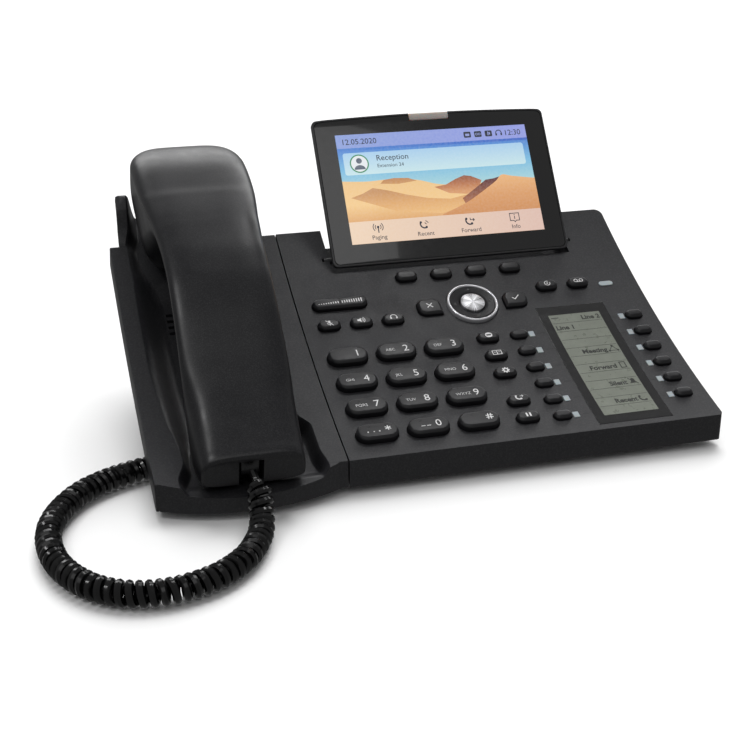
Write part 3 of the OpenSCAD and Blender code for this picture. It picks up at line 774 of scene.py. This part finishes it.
def make_handset():
    upper = carve(loft(handset_rings(1)), plug_recess())
    finish_piece(
        "handset_back", upper, HANDSET, "handset", replaces="handset_outer_shell"
    )
    lower = carve(loft(handset_rings(-1)), plug_recess())
    for s, count, pitch in ((138, 5, 3.4), (15, 2, 3)):
        for k in range(count):
            hole = lathe(((0.0001, -9), (0.9, -9), (0.9, 9), (0.0001, 9)), 16)
            hole.transform(on_top(HANDSET_X + pitch * (k - (count - 1) / 2), s, -8))
            lower = carve(lower, hole)
    finish_piece(
        "handset_face", lower, HANDSET, "handset", replaces="handset_inner_shell"
    )
    plug = soften(band(32.4, 39.6, -3.2, 2.8, 2.6, 9.6, 2), 0.4)
    finish_piece("handset_plug", plug, GLOSS_BLACK, "handset")


make_handset()


# ---- the cradle ----
HOLLOW_FLOOR = (
    (-20, -3), (-4, -3), (4, -6.5), (20, -6.5), (32, -9), (60, -10), (112, -10.5), (125, -5.5),
    (158, -5.5), (168, -3.5)
)
HOLLOW_SIDE = ((-20, 0.15), (142, 0.15), (150, 4), (158, 9), (168, 14))
HOLLOW_LEFT = ((-20, 8.5), (0, 8.5), (12, 12), (40, 8), (70, 6), (142, 7), (150, 9), (168, 9.5))
HOLLOW_SLOPE = ((-20, 4), (12, 4), (40, 12), (70, 14), (110, 14), (135, 6), (168, 5))
HOLLOW_RIGHT = (
    (-20, 68.5), (0, 68.5), (10, 67), (23, 67), (32, 62.5), (105, 62), (120, 65), (142, 66),
    (150, 64.5), (168, 64.5)
)
HOLLOW_TURN = 4
CRADLE_END = SEAM_X - SEAM_GAP
FRONT_BOW = (HANDSET_X, 67.6, 76.3)


def hollow_ring(s, grow, steps=12):
    floor = eased(HOLLOW_FLOOR, s) - grow
    side = eased(HOLLOW_SIDE, s) - grow * 0.3
    left, run = eased(HOLLOW_LEFT, s) - grow, eased(HOLLOW_SLOPE, s)
    right = eased(HOLLOW_RIGHT, s) + grow
    down = [
        (i / steps, side + (floor - side) * (1 - math.cos(math.pi * i / steps)) / 2)
        for i in range(steps + 1)
    ]
    ring = [(left, 30)] + [(left + run * share, n) for share, n in down]
    ring += [(right - HOLLOW_TURN * share, n) for share, n in reversed(down)]
    return [top_point(x, s, n) for x, n in ring + [(right, 30)]]


def hollow(grow=0):
    return loft([hollow_ring(-20 + 188 * i / 141, grow) for i in range(142)])


def slab():
    """The outer block left of the seam, with rounded edges."""
    outline = arc_strip(0, TOP_LEN, 0, 48) + arc_strip(TOP_LEN, 0, -RIM, 48)
    outline.append((0, at(0, -RIM)[1]))
    return soften(prism_x(0, CRADLE_END, outline), 0.5, angle=30, flat=0.01)


EAR = (
    (141, -20), (161, -20), (163.6, 0), (164, 8), (162.6, 11.4), (159.6, 12.4), (155, 10),
    (149, 4.4), (144, 1), (141, -0.1)
)


def ear_arch():
    """A block along s whose top corners are round, seen from the front."""
    outline = rounded(62.2, 60, (0.5, 5, 5, 0.5))
    rings = [[Vector((x, y, z - 17.55)) * MM for x, z in outline] for y in (-20, 20)]
    block = loft(rings)
    block.transform(on_top(35.5, 152))
    return block


def make_cradle():
    body = slab()
    tray = band(0.6, CRADLE_END - 0.6, 0.8, TOP_LEN - 0.8, -20, -0.8)
    body = carve(body, carve(hollow(2.2), tray, "INTERSECT"), "UNION")
    ear = prism_x(4.4, 66.6, [at(s, n) for s, n in EAR])
    ear = carve(carve(hollow(4.5), ear, "INTERSECT"), ear_arch(), "INTERSECT")
    body = carve(body, ear, "UNION")
    x, y, r = FRONT_BOW
    bow = lathe(((0.001, 3.4), (r, 3.4), (r, 23.4), (0.001, 23.4)), 480)
    bow.transform(Matrix.Translation(place(x, y, 0)))
    level = at(0, 0)[1]
    fall = 12 * math.tan(slope(0))
    wall = ((-12, 3.4), (2.3, 3.4), (2.3, level + 0.55), (0, level), (-12, level - fall))
    body = carve(body, carve(bow, prism_x(1.5, 73.5, wall), "INTERSECT"), "UNION")
    body = carve(body, hollow())
    for i in range(4):
        slot = band(20.4, 28.4, 96 + 3.6 * i, 97.6 + 3.6 * i, -24, -4, 2)
        body = carve(body, slot)
    for half, top in ((4.2, -4), (6, -7.8)):
        x0, x1 = HANDSET_X - half, HANDSET_X + half
        body = carve(body, band(x0, x1, HOOK_S - 3, HOOK_S + 3, -24, top, 2))
    body = soften(body, 0.6, angle=50, flat=0.001)
    finish_piece("handset_rest", body, COVER, "base", replaces="handset_cradle")
    curve_shading(body)


make_cradle()


# ---- covers and inner parts that keep the design's shape ----
refined("base_top_cover", 0.3, COVER, "base", curved=True)
for node, width, material, slot, body in (
    ("base_bottom_cover", 0.4, LOWER, "lower_plastic", "base"),
    ("foot_stand", 0.5, LOWER, "lower_plastic", "base"),
    ("rubber_feet", 0.5, RUBBER, "foot_rubber", "base"),
    ("main_board", 0.15, BOARD, "circuit_board", "base"),
    ("loudspeaker", 0.3, STEEL, "speaker_metal", "base"),
    ("status_lights", 0.15, PIPE, "light_pipe", "base"),
    ("hook_switch", 0.4, GLOSS_BLACK, "hook_plastic", "hook"),
    ("display_back_cover", 0.5, LOWER, "lower_plastic", "display"),
):
    refined(node, width, material, body)


# ---- keys ----
def key(name, spot, outline, height, body=None):
    body = body or name + "_body"
    mesh = key_mesh(outline, height)
    finish_piece(name + "_cap", mesh, KEY, body, on_top(*spot), replaces=name)


def bar_outline(size):
    return lambda grow: stadium(*size, grow)


def legend(name, marks, spot, height, body=None):
    """White marks on a key's top face."""
    x, s = spot
    marks.piece(name + "_print", PRINT, body or name + "_body", "key_plastic", on_top(x, s, height))


LETTERS = {
    "2": "ABC", "3": "DEF", "4": "GHI", "5": "JKL", "6": "MNO", "7": "PQRS", "8": "TUV", "9": "WXYZ"
}
DIGIT_SIZE, LETTER_SIZE = 5.4, 2.2


def number_marks(label):
    marks = Print()
    if label == "star":
        for turn in (90, 210, 330):
            a = math.radians(turn)
            dx, dy = 1.35 * math.cos(a), 1.35 * math.sin(a)
            marks.line([(4.4 - dx, 0.5 - dy), (4.4 + dx, 0.5 + dy)], 0.42)
        marks.disc(-4.2, -0.9, 0.32).disc(-1.7, -0.9, 0.26).disc(0.6, -0.9, 0.32)
    elif label == "hash":
        for shift in (-0.6, 0.6):
            marks.line([(4.1 + shift, -1.5), (4.6 + shift, 1.9)], 0.42)
            marks.line([(2.8, 0.2 + shift), (5.9, 0.2 + shift)], 0.42)
    else:
        marks.word(label, DIGIT_SIZE, 2.6, -1.8, bold=-0.004)
        if label == "0":
            marks.line([(-3.6, -1), (-1.9, -1)], 0.3).line([(-1.2, -1), (0.5, -1)], 0.3)
        elif label in LETTERS:
            marks.word(LETTERS[label], LETTER_SIZE, -5.1, -1, bold=-0.012)
    return marks


def make_number_keys():
    labels = [str(i) for i in range(1, 10)] + ["star", "0", "hash"]
    for i, label in enumerate(labels):
        spot = (KEY_COLUMNS[i % 3], KEY_ROWS[i // 3])
        key("key_" + label, spot, bar_outline(KEY_SIZE), KEY_HEIGHT)
        legend("key_" + label, number_marks(label), spot, KEY_HEIGHT)


make_number_keys()


def receiver(marks, x, y, r=1.5, tilt=225, width=0.55):
    """A telephone receiver: an arc with a pad at each end."""
    marks.ring(x, y, r, width, tilt - 75, tilt + 75)
    for turn in (tilt - 72, tilt + 72):
        a = math.radians(turn)
        marks.disc(x + r * math.cos(a) * 0.92, y + r * math.sin(a) * 0.92, width * 0.85, 10)
    return marks


def microphone_icon(marks):
    marks.line([(0, -0.2), (0, 1.4)], 0.9).ring(0, 0.2, 1.1, 0.28, 190, 350)
    return marks.line([(0, -0.9), (0, -1.6)], 0.28).line([(-1.5, 1.6), (1.5, -1.6)], 0.3)


def speaker_icon(marks):
    marks.shape([(-2, -0.5), (-1.2, -0.5), (-0.3, -1.3), (-0.3, 1.3), (-1.2, 0.5), (-2, 0.5)])
    marks.ring(-0.6, 0, 1.2, 0.28, -50, 50)
    return marks.ring(-0.6, 0, 2, 0.28, -50, 50)


def headset_icon(marks):
    marks.ring(0, 0, 1.4, 0.34, -20, 200)
    return marks.bar(-1.7, -1.1, 0.7, 1.1).bar(1, -1.1, 0.7, 1.1)


def quiet_icon(marks):
    """A disc with a dash left free across its middle."""
    for sign in (1, -1):
        arc = [math.radians(10 + 160 * i / 12) for i in range(13)]
        half = [(1.6 * math.cos(a), sign * (0.28 + 1.2 * math.sin(a))) for a in arc]
        marks.shape(half if sign > 0 else half[::-1])
    return marks.bar(-1.6, -0.4, 0.5, 0.8).bar(1.1, -0.4, 0.5, 0.8)


def book_icon(marks):
    marks.line([(-2, -1.2), (2, -1.2), (2, 1.2), (-2, 1.2)], 0.3, closed=True)
    marks.line([(0, -1.2), (0, 1.2)], 0.3)
    return marks.line([(-1.4, 0.2), (-0.6, 0.2)], 0.25).line([(0.6, 0.2), (1.4, 0.2)], 0.25)


def gear_icon(marks):
    marks.ring(0, 0, 0.95, 0.6)
    for i in range(8):
        a = math.tau * i / 8
        c, q = math.cos(a), math.sin(a)
        marks.line([(1.1 * c, 1.1 * q), (1.75 * c, 1.75 * q)], 0.5)
    return marks


def transfer_icon(marks):
    receiver(marks, 0, 0.5)
    return marks.line([(0.4, 0.9), (1.9, 0.9)], 0.25).line([(1.4, 1.4), (1.9, 0.9), (1.4, 0.4)], 0.25)


def hold_icon(marks):
    return marks.bar(-1.1, -1.1, 0.7, 2.2).bar(0.4, -1.1, 0.7, 2.2)


def retrieve_icon(marks):
    marks.ring(0, 0, 1.3, 0.32, 60, 380)
    return marks.disc(0, 0, 0.4, 10)


def message_icon(marks):
    marks.ring(-1.3, 0, 0.85, 0.32).ring(1.3, 0, 0.85, 0.32)
    return marks.line([(-1.3, -0.85), (1.3, -0.85)], 0.32)


SMALL_KEYS = (
    ("mute_key", (87.8, 81.6), microphone_icon), ("speaker_key", (102.4, 81.6), speaker_icon),
    ("headset_key", (117, 81.6), headset_icon), ("dnd_key", (156, 64.3), quiet_icon),
    ("directory_key", (156, 52.7), book_icon), ("menu_key", (156, 41.1), gear_icon),
    ("transfer_key", (155.6, 23), transfer_icon), ("hold_key", (155.6, 12), hold_icon),
    ("retrieve_key", (194.6, 93.8), retrieve_icon), ("message_key", (210.2, 93.8), message_icon),
    ("soft_key_1", (130.3, 107.8), None), ("soft_key_2", (147.2, 107.8), None),
    ("soft_key_3", (164.1, 107.8), None), ("soft_key_4", (181, 107.8), None)
)


def make_small_keys():
    for name, spot, icon in SMALL_KEYS:
        key(name, spot, bar_outline(SMALL_SIZE), SMALL_HEIGHT)
        if icon:
            legend(name, icon(Print()), spot, SMALL_HEIGHT)
    for i in range(12):
        side, row = divmod(i, 6)
        spot = (LINE_X[side], LINE_TOP[side] - row * LINE_PITCH)
        key(f"line_key_{i + 1}", spot, bar_outline(LINE_SIZE), LINE_HEIGHT)


make_small_keys()


def make_corner_keys():
    """Cancel and confirm: three round corners and a sharp one towards the ring."""
    cross = Print().line([(-1.3, -1.3), (1.3, 1.3)], 0.4).line([(-1.3, 1.3), (1.3, -1.3)], 0.4)
    tick = Print().line([(-1.7, 0.1), (-0.5, -1.1), (1.8, 1.3)], 0.4)
    sides = (
        ("cancel_key", (135.4, 87), (0.3, 3.6, 3.6, 3.6), cross),
        ("confirm_key", (176.6, 87), (3.6, 3.6, 3.6, 0.3), tick)
    )
    for name, spot, radii, marks in sides:
        key(name, spot, lambda grow, r=radii: rounded(*CORNER_SIZE, r, grow), CORNER_HEIGHT)
        legend(name, marks, spot, CORNER_HEIGHT)


make_corner_keys()


def make_volume():
    spot = (VOLUME_X, VOLUME_S)
    height = 2.39
    key("volume_rocker", spot, bar_outline(VOLUME_SIZE), height, "volume")
    marks = Print()
    ticks, pitch = 9, 1.1
    for side in (-1, 1):
        for i in range(ticks):
            share = (i if side < 0 else ticks + i) / (2 * ticks - 1)
            tall = 0.35 + 1.9 * share
            x = side * 0.95 + (i - (ticks - 1 if side < 0 else 0)) * pitch
            marks.bar(x - 0.22, -0.9, 0.44, tall)
    legend("volume_rocker", marks, spot, height, "volume")
    # Painted shade: a dark bar where the groove between the rocker's halves lies in shade.
    divider_shade = Print().bar(-0.2, -1.9, 0.4, 3.8)
    divider_shade.piece("volume_divider_shade", GROOVE_SHADE, "volume", "key_plastic", on_top(*spot, height))


make_volume()


def make_navigation():
    spot = on_top(NAV_X, NAV_S)
    outer, inner, rim = NAV_D / 2, (OK_D + 0.8) / 2, 1.3
    section = (
        (inner, -3), (outer - rim - 0.1, -3), (outer - rim - 0.1, 1.2), (outer - rim - 0.5, 1.55),
        (inner + 1.4, 1.2), (inner + 0.4, 1.05), (inner, 0.7)
    )
    rocker = lathe(section)
    finish_piece("nav_rocker", rocker, KEY, "nav", spot, replaces="nav_ring")
    rim_turn = [math.pi * i / 10 for i in range(11)]
    crown = [(outer - rim / 2 + rim / 2 * math.cos(a), 1.15 + 0.74 * math.sin(a)) for a in rim_turn]
    profile = [(outer, -3)] + crown + [(outer - rim, -3)]
    finish_piece("nav_rim", lathe(profile), CHROME, "nav", spot)
    marks = Print()
    reach, size = (outer + inner) / 2 - 0.5, 0.9
    for turn in range(4):
        a = math.pi / 2 * turn
        c, q = math.cos(a), math.sin(a)
        arrow = ((reach - size / 2, size), (reach + size / 2, 0), (reach - size / 2, -size))
        marks.line([(u * c - v * q, u * q + v * c) for u, v in arrow], 0.3)
    marks.piece("nav_arrows", GLOSS_BLACK, "nav", "key_plastic", on_top(NAV_X, NAV_S, 1.3), 0.12)
    r = OK_D / 2
    dome = [(r * math.cos(a), 1.62 + 0.36 * math.sin(a)) for a in (0, 0.35, 0.75, 1.1, 1.35)]
    button = lathe([(0.01, -5), (r, -5)] + dome + [(0.01, 1.98)])
    finish_piece(
        "ok_disc", button, SILVER, "ok_button_body", spot, replaces="ok_button"
    )


make_navigation()


# ---- the label display with its line keys ----
LCD_X, LCD_S = (188.6, 213.6), (8.2, 74.8)
LCD_ROWS = 12


def make_label_display():
    (x0, x1), (s0, s1) = LABEL_X, LABEL_S
    glass = soften(band(x0 + 0.1, x1 - 0.1, s0 + 0.1, s1 - 0.1, -1.3, 0.1), 0.1, flat=0.001)
    finish_piece(
        "label_glass", glass, GLASS, "base", even=True, replaces="label_screen"
    )
    panel = band(*LCD_X, *LCD_S, 0.08, 0.14)
    grey = glossy_plastic("label_panel", linear(112, 117, 106), 0.3, Coat_Weight=0.6)
    finish_piece("label_panel", panel, grey, "base")
    ink = glossy_plastic("label_ink", linear(22, 24, 20), 0.4)
    marks = Print()
    pitch = (LCD_S[1] - LCD_S[0]) / LCD_ROWS
    left, right = LCD_X[0] + 0.8, LCD_X[1] - 0.8

    def row_s(row):
        return LCD_S[0] + row * pitch

    for i in range(1, LCD_ROWS):
        marks.bar(LCD_X[0] + 0.5, row_s(i) - 0.07, LCD_X[1] - LCD_X[0] - 1, 0.14)
    marks.bar(left, row_s(11.6), 3.6, 0.5)
    lift, size = 1.3, 3.7
    marks.word("Line 2", size, right, row_s(11) + lift, "RIGHT", 0.03)
    marks.word("Line 1", size, left, row_s(10) + lift, "LEFT", 0.03)
    for row, label in ((7, "Meeting"), (5, "Forward"), (3, "Silent"), (1, "Recent")):
        marks.word(label, size, right - 5.4, row_s(row) + lift, "RIGHT", 0.03)
    x = right - 2.4
    corners = [(x - 2, row_s(7) + 1.4), (x + 2, row_s(7) + 1.4), (x, row_s(7) + 4.4)]
    marks.line(corners, 0.3, closed=True)
    for corner in corners:
        marks.disc(*corner, 0.6, 8)
    marks.line([(x - 1.2, row_s(5) + 1), (x + 1.2, row_s(5) + 1), (x + 1.2, row_s(5) + 4.6),
                (x - 1.2, row_s(5) + 4.6)], 0.45, closed=True)
    bell = ((-1.8, 1.6), (1.8, 1.6), (1, 2.6), (0.8, 4.2), (0, 4.8), (-0.8, 4.2), (-1, 2.6))
    marks.shape([(x + u, row_s(3) + v) for u, v in bell])
    marks.line([(x - 1.8, row_s(3) + 4.8), (x + 2, row_s(3) + 1)], 0.4)
    receiver(marks, x, row_s(1) + 3, 1.9, 225, 0.7)
    raised = marks.piece("label_marks", ink, None, "label_glass", None, 0.03)
    wrapped(raised.data, 0.14)
    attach(raised, "base")


def make_engraved_lines():
    """Painted groove shade: thin dark lines that lead from each light to the label display, where
    grooves lie.
    """
    marks = Print()
    spans = ((180, 183.4), (218.7, 220.9))
    for i in range(12):
        side, row = divmod(i, 6)
        s = LINE_TOP[side] - row * LINE_PITCH
        marks.bar(spans[side][0], s - 0.12, spans[side][1] - spans[side][0], 0.24)
    lines = marks.piece("groove_shade_lines", GROOVE_SHADE, None, "cover_plastic", None, 0.02)
    wrapped(lines.data, 0)
    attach(lines, "base")


make_label_display()
make_engraved_lines()


# ---- the colour display ----
DISPLAY_CORNER = 2.5


def display_outline(inset, arch_steps=40):
    """Outline of the display with its lightly arched top edge."""
    x0, x1 = DISPLAY_X[0] + inset, DISPLAY_X[1] - inset
    middle, half = (x0 + x1) / 2, (DISPLAY_X[1] - DISPLAY_X[0]) / 2
    plain = rounded(x1 - x0, DISPLAY_H - 2 * inset, (DISPLAY_CORNER,) * 4, 0, 8)
    plain = [(x + middle, y + DISPLAY_H / 2) for x, y in plain]
    arch = []
    for i in range(1, arch_steps):
        x = x1 - DISPLAY_CORNER + (x0 - x1 + 2 * DISPLAY_CORNER) * i / arch_steps
        rise = DISPLAY_ARCH * (1 - ((x - middle) / half) ** 2)
        arch.append((x, DISPLAY_H - inset + rise))
    right = len(plain) // 2
    return plain[:right] + arch + plain[right:]


def display_plate(levels):
    """A plate through (inset, t) levels, lying in the display's own plane."""
    return loft([ring_at(display_outline(inset), t) for inset, t in levels])


def make_display_case():
    plane = on_display(0, 0)
    case = display_plate(
        ((1.2, -BEZEL_T), (0.2, -BEZEL_T), (0, 0.2 - BEZEL_T), (0, -0.25), (0.08, -0.07),
         (0.25, 0), (0.85, 0), (0.92, -0.3), (1, -1.62)),
    )
    u0, u1, w0 = CALL_LIGHT
    corners = ((u0, w0), (u1, w0), (u1, w0 + 9), (u0, w0 + 9))
    notch = loft([ring_at(corners, t) for t in (-9, 4)])
    finish_piece("display_frame", carve(case, notch), BEZEL, "display", plane,
                 replaces="display_bezel")
    glass = display_plate(((1.05, -1.6), (1.05, -0.25), (1.15, -0.12), (1.4, -0.08)))
    finish_piece("display_glass", carve(glass, notch), GLASS, "display", plane,
                 replaces="display_screen")
    rings = []
    for grow, t in ((0, -BEZEL_T), (0, -0.1), (-0.15, 0.06), (-0.4, 0.12)):
        rings.append(ring_at(rounded(u1 - u0 - 0.2, 3.5, (1, 0.4, 0.4, 1), grow), t))
    finish_piece("call_lens", loft(rings), PIPE, "display",
                 on_display((u0 + u1) / 2, w0 + 1.8), replaces="call_light")


make_display_case()

PANEL_SIZE = (PANEL_U[1] - PANEL_U[0], PANEL_W[1] - PANEL_W[0])
LAYER = 0.015


def picture(name, marks, colours, span, layer, axis="Y", strength=0.85):
    """One lit layer of the display's picture, its colours spread evenly over a span."""
    name = "picture_" + name
    spot = on_display(PANEL_U[0], PANEL_W[0], -0.07 + layer * LAYER)
    material = lit(name, tones(colours), span, axis, strength)
    marks.piece(name, material, "display", "display_glass", spot, LAYER * 0.6)


def smooth_outline(points, steps=8):
    """A closed outline through (x, y) points, eased between them."""
    curve = catmull([(x, y, 0) for x, y in points], steps)
    return [(p.x, p.y) for p in curve]


def under(crest):
    """What lies under a crest line, down to the panel's lower edge."""
    line = smooth_outline(crest)
    return [(line[0][0], 0), (line[-1][0], 0)] + line[::-1]


def tones(colours):
    """Evenly spaced stops of a colour ramp, from 8-bit screen values."""
    colours = colours if len(colours) > 1 else colours * 2
    return [(i / (len(colours) - 1), linear(*c)) for i, c in enumerate(colours)]


def make_landscape():
    """Sky over dunes, each layer before the last; sizes are on the panel, from its corner."""
    far = (
        (0, 31), (12, 30.2), (24, 30.6), (36, 29.4), (47, 26.4), (60, 25.6), (78, 26), (95, 26.4)
    )
    mesa = ((18, 28.6), (20, 30.4), (25, 31), (32, 30.6), (36, 29), (27, 28))
    butte = (
        (44, 25.2), (50, 26), (55, 28.4), (59.6, 30), (63, 29.4), (68, 27), (66, 23.4), (60, 20.6),
        (51, 21.6)
    )
    shade = (
        (3, 22.6), (9, 24.4), (14, 26.8), (21, 25.2), (30, 22.4), (40, 20), (51, 18.8), (60, 20.4),
        (66, 22.6), (72, 24.4), (60, 16), (46, 12), (24, 14.6)
    )
    gully = (
        (57, 18.6), (64, 23), (70, 27), (74, 27.4), (80, 28.8), (74, 24.8), (66, 19.6), (58, 16)
    )
    near = (
        (46, 11.4), (52, 13.6), (60, 17), (68, 21.6), (75, 26), (78.6, 29), (84, 28), (95, 26.2)
    )
    wide, tall = PANEL_SIZE
    whole = ((0, 0), (wide, 0), (wide, tall), (0, tall))
    for name, outline, colours, span, layer in (
        ("sky", whole, ((176, 222, 226), (124, 194, 232), (70, 128, 216)), (25, 47), 0),
        ("far_dunes", under(far), ((224, 160, 96), (252, 210, 146), (246, 204, 142)), (8, 30), 1),
        ("mesa", mesa, ((214, 158, 100), (196, 134, 80)), (28, 31), 2),
        ("butte", butte, ((224, 160, 108), (190, 118, 74), (150, 84, 58)), (22, 30), 2),
        ("dune_shade", shade, ((246, 196, 130), (232, 176, 112), (206, 150, 96)), (12, 25), 3),
        ("gully", gully, ((170, 104, 70), (96, 42, 44)), (17, 27), 4),
        ("near_dune", under(near), ((214, 146, 88), (226, 162, 104), (244, 188, 128)), (10, 29), 5),
    ):
        picture(name, Print().shape(outline), colours, span, layer)


def make_bars():
    """The menu bar, the header and the card of the call in hand."""
    wide, tall = PANEL_SIZE
    for name, y, high, colours, layer in (
        ("menu_bar", 0, 10.8, ((246, 218, 190), (238, 208, 186), (230, 196, 182)), 6),
        ("header", tall - 6.8, 6.8, ((144, 166, 226), (150, 160, 232)), 6),
        ("header_line", tall - 7.9, 1.1, ((70, 132, 214), (52, 100, 200)), 7),
    ):
        picture(name, Print().bar(0, y, wide, high), colours, (0, wide), layer, "X")
    card = Print().shape([(x + 47.2, y + 39.2) for x, y in rounded(90, 11, (1.2,) * 4)])
    picture("card", card, ((206, 236, 242), (172, 212, 244)), (34, 45), 6)
    picture("badge_ring", Print().ring(9.6, 39.2, 4.3, 0.6), ((36, 140, 90),), (0, 1), 8)
    picture("badge", Print().disc(9.6, 39.2, 4), ((238, 242, 246),), (0, 1), 7)
    person = Print().disc(9.6, 40.6, 1.4)
    shoulders = [math.radians(180 * i / 12) for i in range(13)]
    person.shape([(9.6 + 2.7 * math.cos(a), 36.3 + 2.2 * math.sin(a)) for a in shoulders])
    picture("person", person, ((86, 98, 116),), (0, 1), 9)


MENU_X = (13.5, 36, 58.5, 81)
STATUS_X = (65, 70.4, 75.8)


def make_words():
    """Words, status signs and menu icons, in one dark layer, with light signs in the boxes."""
    wide, tall = PANEL_SIZE
    text = Print().word("12.05.2020", 3.9, 2.4, tall - 5).word("12:30", 3.9, wide - 11.4, tall - 5)
    text.word("Reception", 3.9, 18, 40.2).word("Extension 24", 2.5, 18, 36.8, bold=0)
    y = tall - 3.6
    for x in STATUS_X:
        text.shape([(x + u, y + v) for u, v in rounded(3.6, 3, (0.5,) * 4)])
    text.ring(81, y, 1.4, 0.45, -20, 200).bar(79.3, y - 1.3, 0.8, 1.1).bar(81.9, y - 1.3, 0.8, 1.1)
    x = MENU_X[0]
    text.line([(x, 4.8), (x, 7.4)], 0.5).disc(x, 7.6, 0.6, 12)
    for r in (1.4, 2.4):
        for turn in (0, 180):
            text.ring(x, 7.6, r, 0.36, turn - 45, turn + 45)
    for x in MENU_X[1:3]:
        receiver(text, x, 7.4, 2, 225, 0.7)
    x = MENU_X[1]
    text.line([(x + 0.2, 8), (x + 1, 7.2)], 0.36).line([(x + 0.8, 9), (x + 2, 7.8)], 0.36)
    x = MENU_X[2]
    text.line([(x + 0.3, 8.6), (x + 0.3, 7.6), (x + 2.2, 7.6)], 0.36)
    text.line([(x + 1.6, 8.3), (x + 2.3, 7.6), (x + 1.6, 6.9)], 0.36)
    x = MENU_X[3]
    bubble = ((-2.3, 5.6), (-0.6, 5.6), (0, 4.9), (0.6, 5.6), (2.3, 5.6), (2.3, 9.2), (-2.3, 9.2))
    text.line([(x + u, v) for u, v in bubble], 0.36, closed=True)
    text.line([(x, 6.3), (x, 7.8)], 0.4).disc(x, 8.4, 0.28, 8)
    for x, label in zip(MENU_X, ("Paging", "Recent", "Forward", "Info")):
        text.word(label, 2.9, x, 1.7, "CENTER")
    picture("marks", text, ((38, 48, 70),), (0, 1), 10, strength=0.5)
    calendar, voicemail, contacts = STATUS_X
    glyphs = Print().bar(calendar - 1, y - 0.7, 2, 1.2)
    glyphs.ring(voicemail - 0.7, y, 0.5, 0.25).ring(voicemail + 0.7, y, 0.5, 0.25)
    glyphs.bar(contacts - 0.5, y - 1, 0.4, 2).bar(contacts + 0.1, y - 0.6, 0.7, 1.2)
    picture("glyphs", glyphs, ((150, 162, 220),), (0, 1), 11)


make_landscape()
make_bars()
make_words()


# ---- light and floor ----
def area_light(name, spot, target, size, power):
    lamp = bpy.data.lights.new(name, "AREA")
    lamp.shape, lamp.size, lamp.size_y = "RECTANGLE", size[0], size[1]
    lamp.energy = power
    holder = put(name, lamp)
    holder.location = spot
    holder.rotation_euler = (Vector(target) - Vector(spot)).to_track_quat("-Z", "Y").to_euler()


# (name, place, target, size, power)
AREA_LIGHTS = (
    ("soft_front", (-0.26, -0.99, 1.23), (0.04, 0.05, 0.09), (1.4, 0.9), 3),
    ("soft_back", (0.5, 1.9, 1.2), (0, 0, 0.03), (3, 1), 24),
    ("soft_left", (-1, -0.3, 1.6), (0, 0, 0.03), (0.3, 0.3), 4),
    ("spark", (0.36, 0.44, 1.23), (0.036, 0, 0.04), (0.22, 0.22), 1)
)


def make_stage():
    reach = 8000
    corners = ((-reach, -reach), (reach, -reach), (reach, reach), (-reach, reach))
    floor = loft([ring_at(corners, z) for z in (-20, 0)])
    white = Shader("studio_floor", Roughness=0.6)
    tint = white.spread(white.noise(60, 3), 0, 0.03)
    white.set("Base Color", white.mix(tint, (0.9, 0.9, 0.9, 1), (0.8, 0.8, 0.8, 1)))
    piece = put("floor", floor)
    floor.materials.append(white.material)
    piece.visible_glossy = piece.visible_diffuse = False
    sun = bpy.data.lights.new("studio_sun", "SUN")
    sun.energy, sun.angle = 2.3, math.radians(45)
    holder = put("studio_sun", sun)
    holder.rotation_euler = [math.radians(v) for v in (-24, 10, 0)]
    holder.visible_glossy = False
    for lamp in AREA_LIGHTS:
        area_light(*lamp)
    world = bpy.data.worlds.new("studio")
    world.use_nodes = True
    background = world.node_tree.nodes["Background"]
    background.inputs["Color"].default_value = (1, 1, 1, 1)
    background.inputs["Strength"].default_value = 0.24
    bpy.context.scene.world = world
    bpy.context.scene.view_settings.view_transform = "Standard"


make_stage()
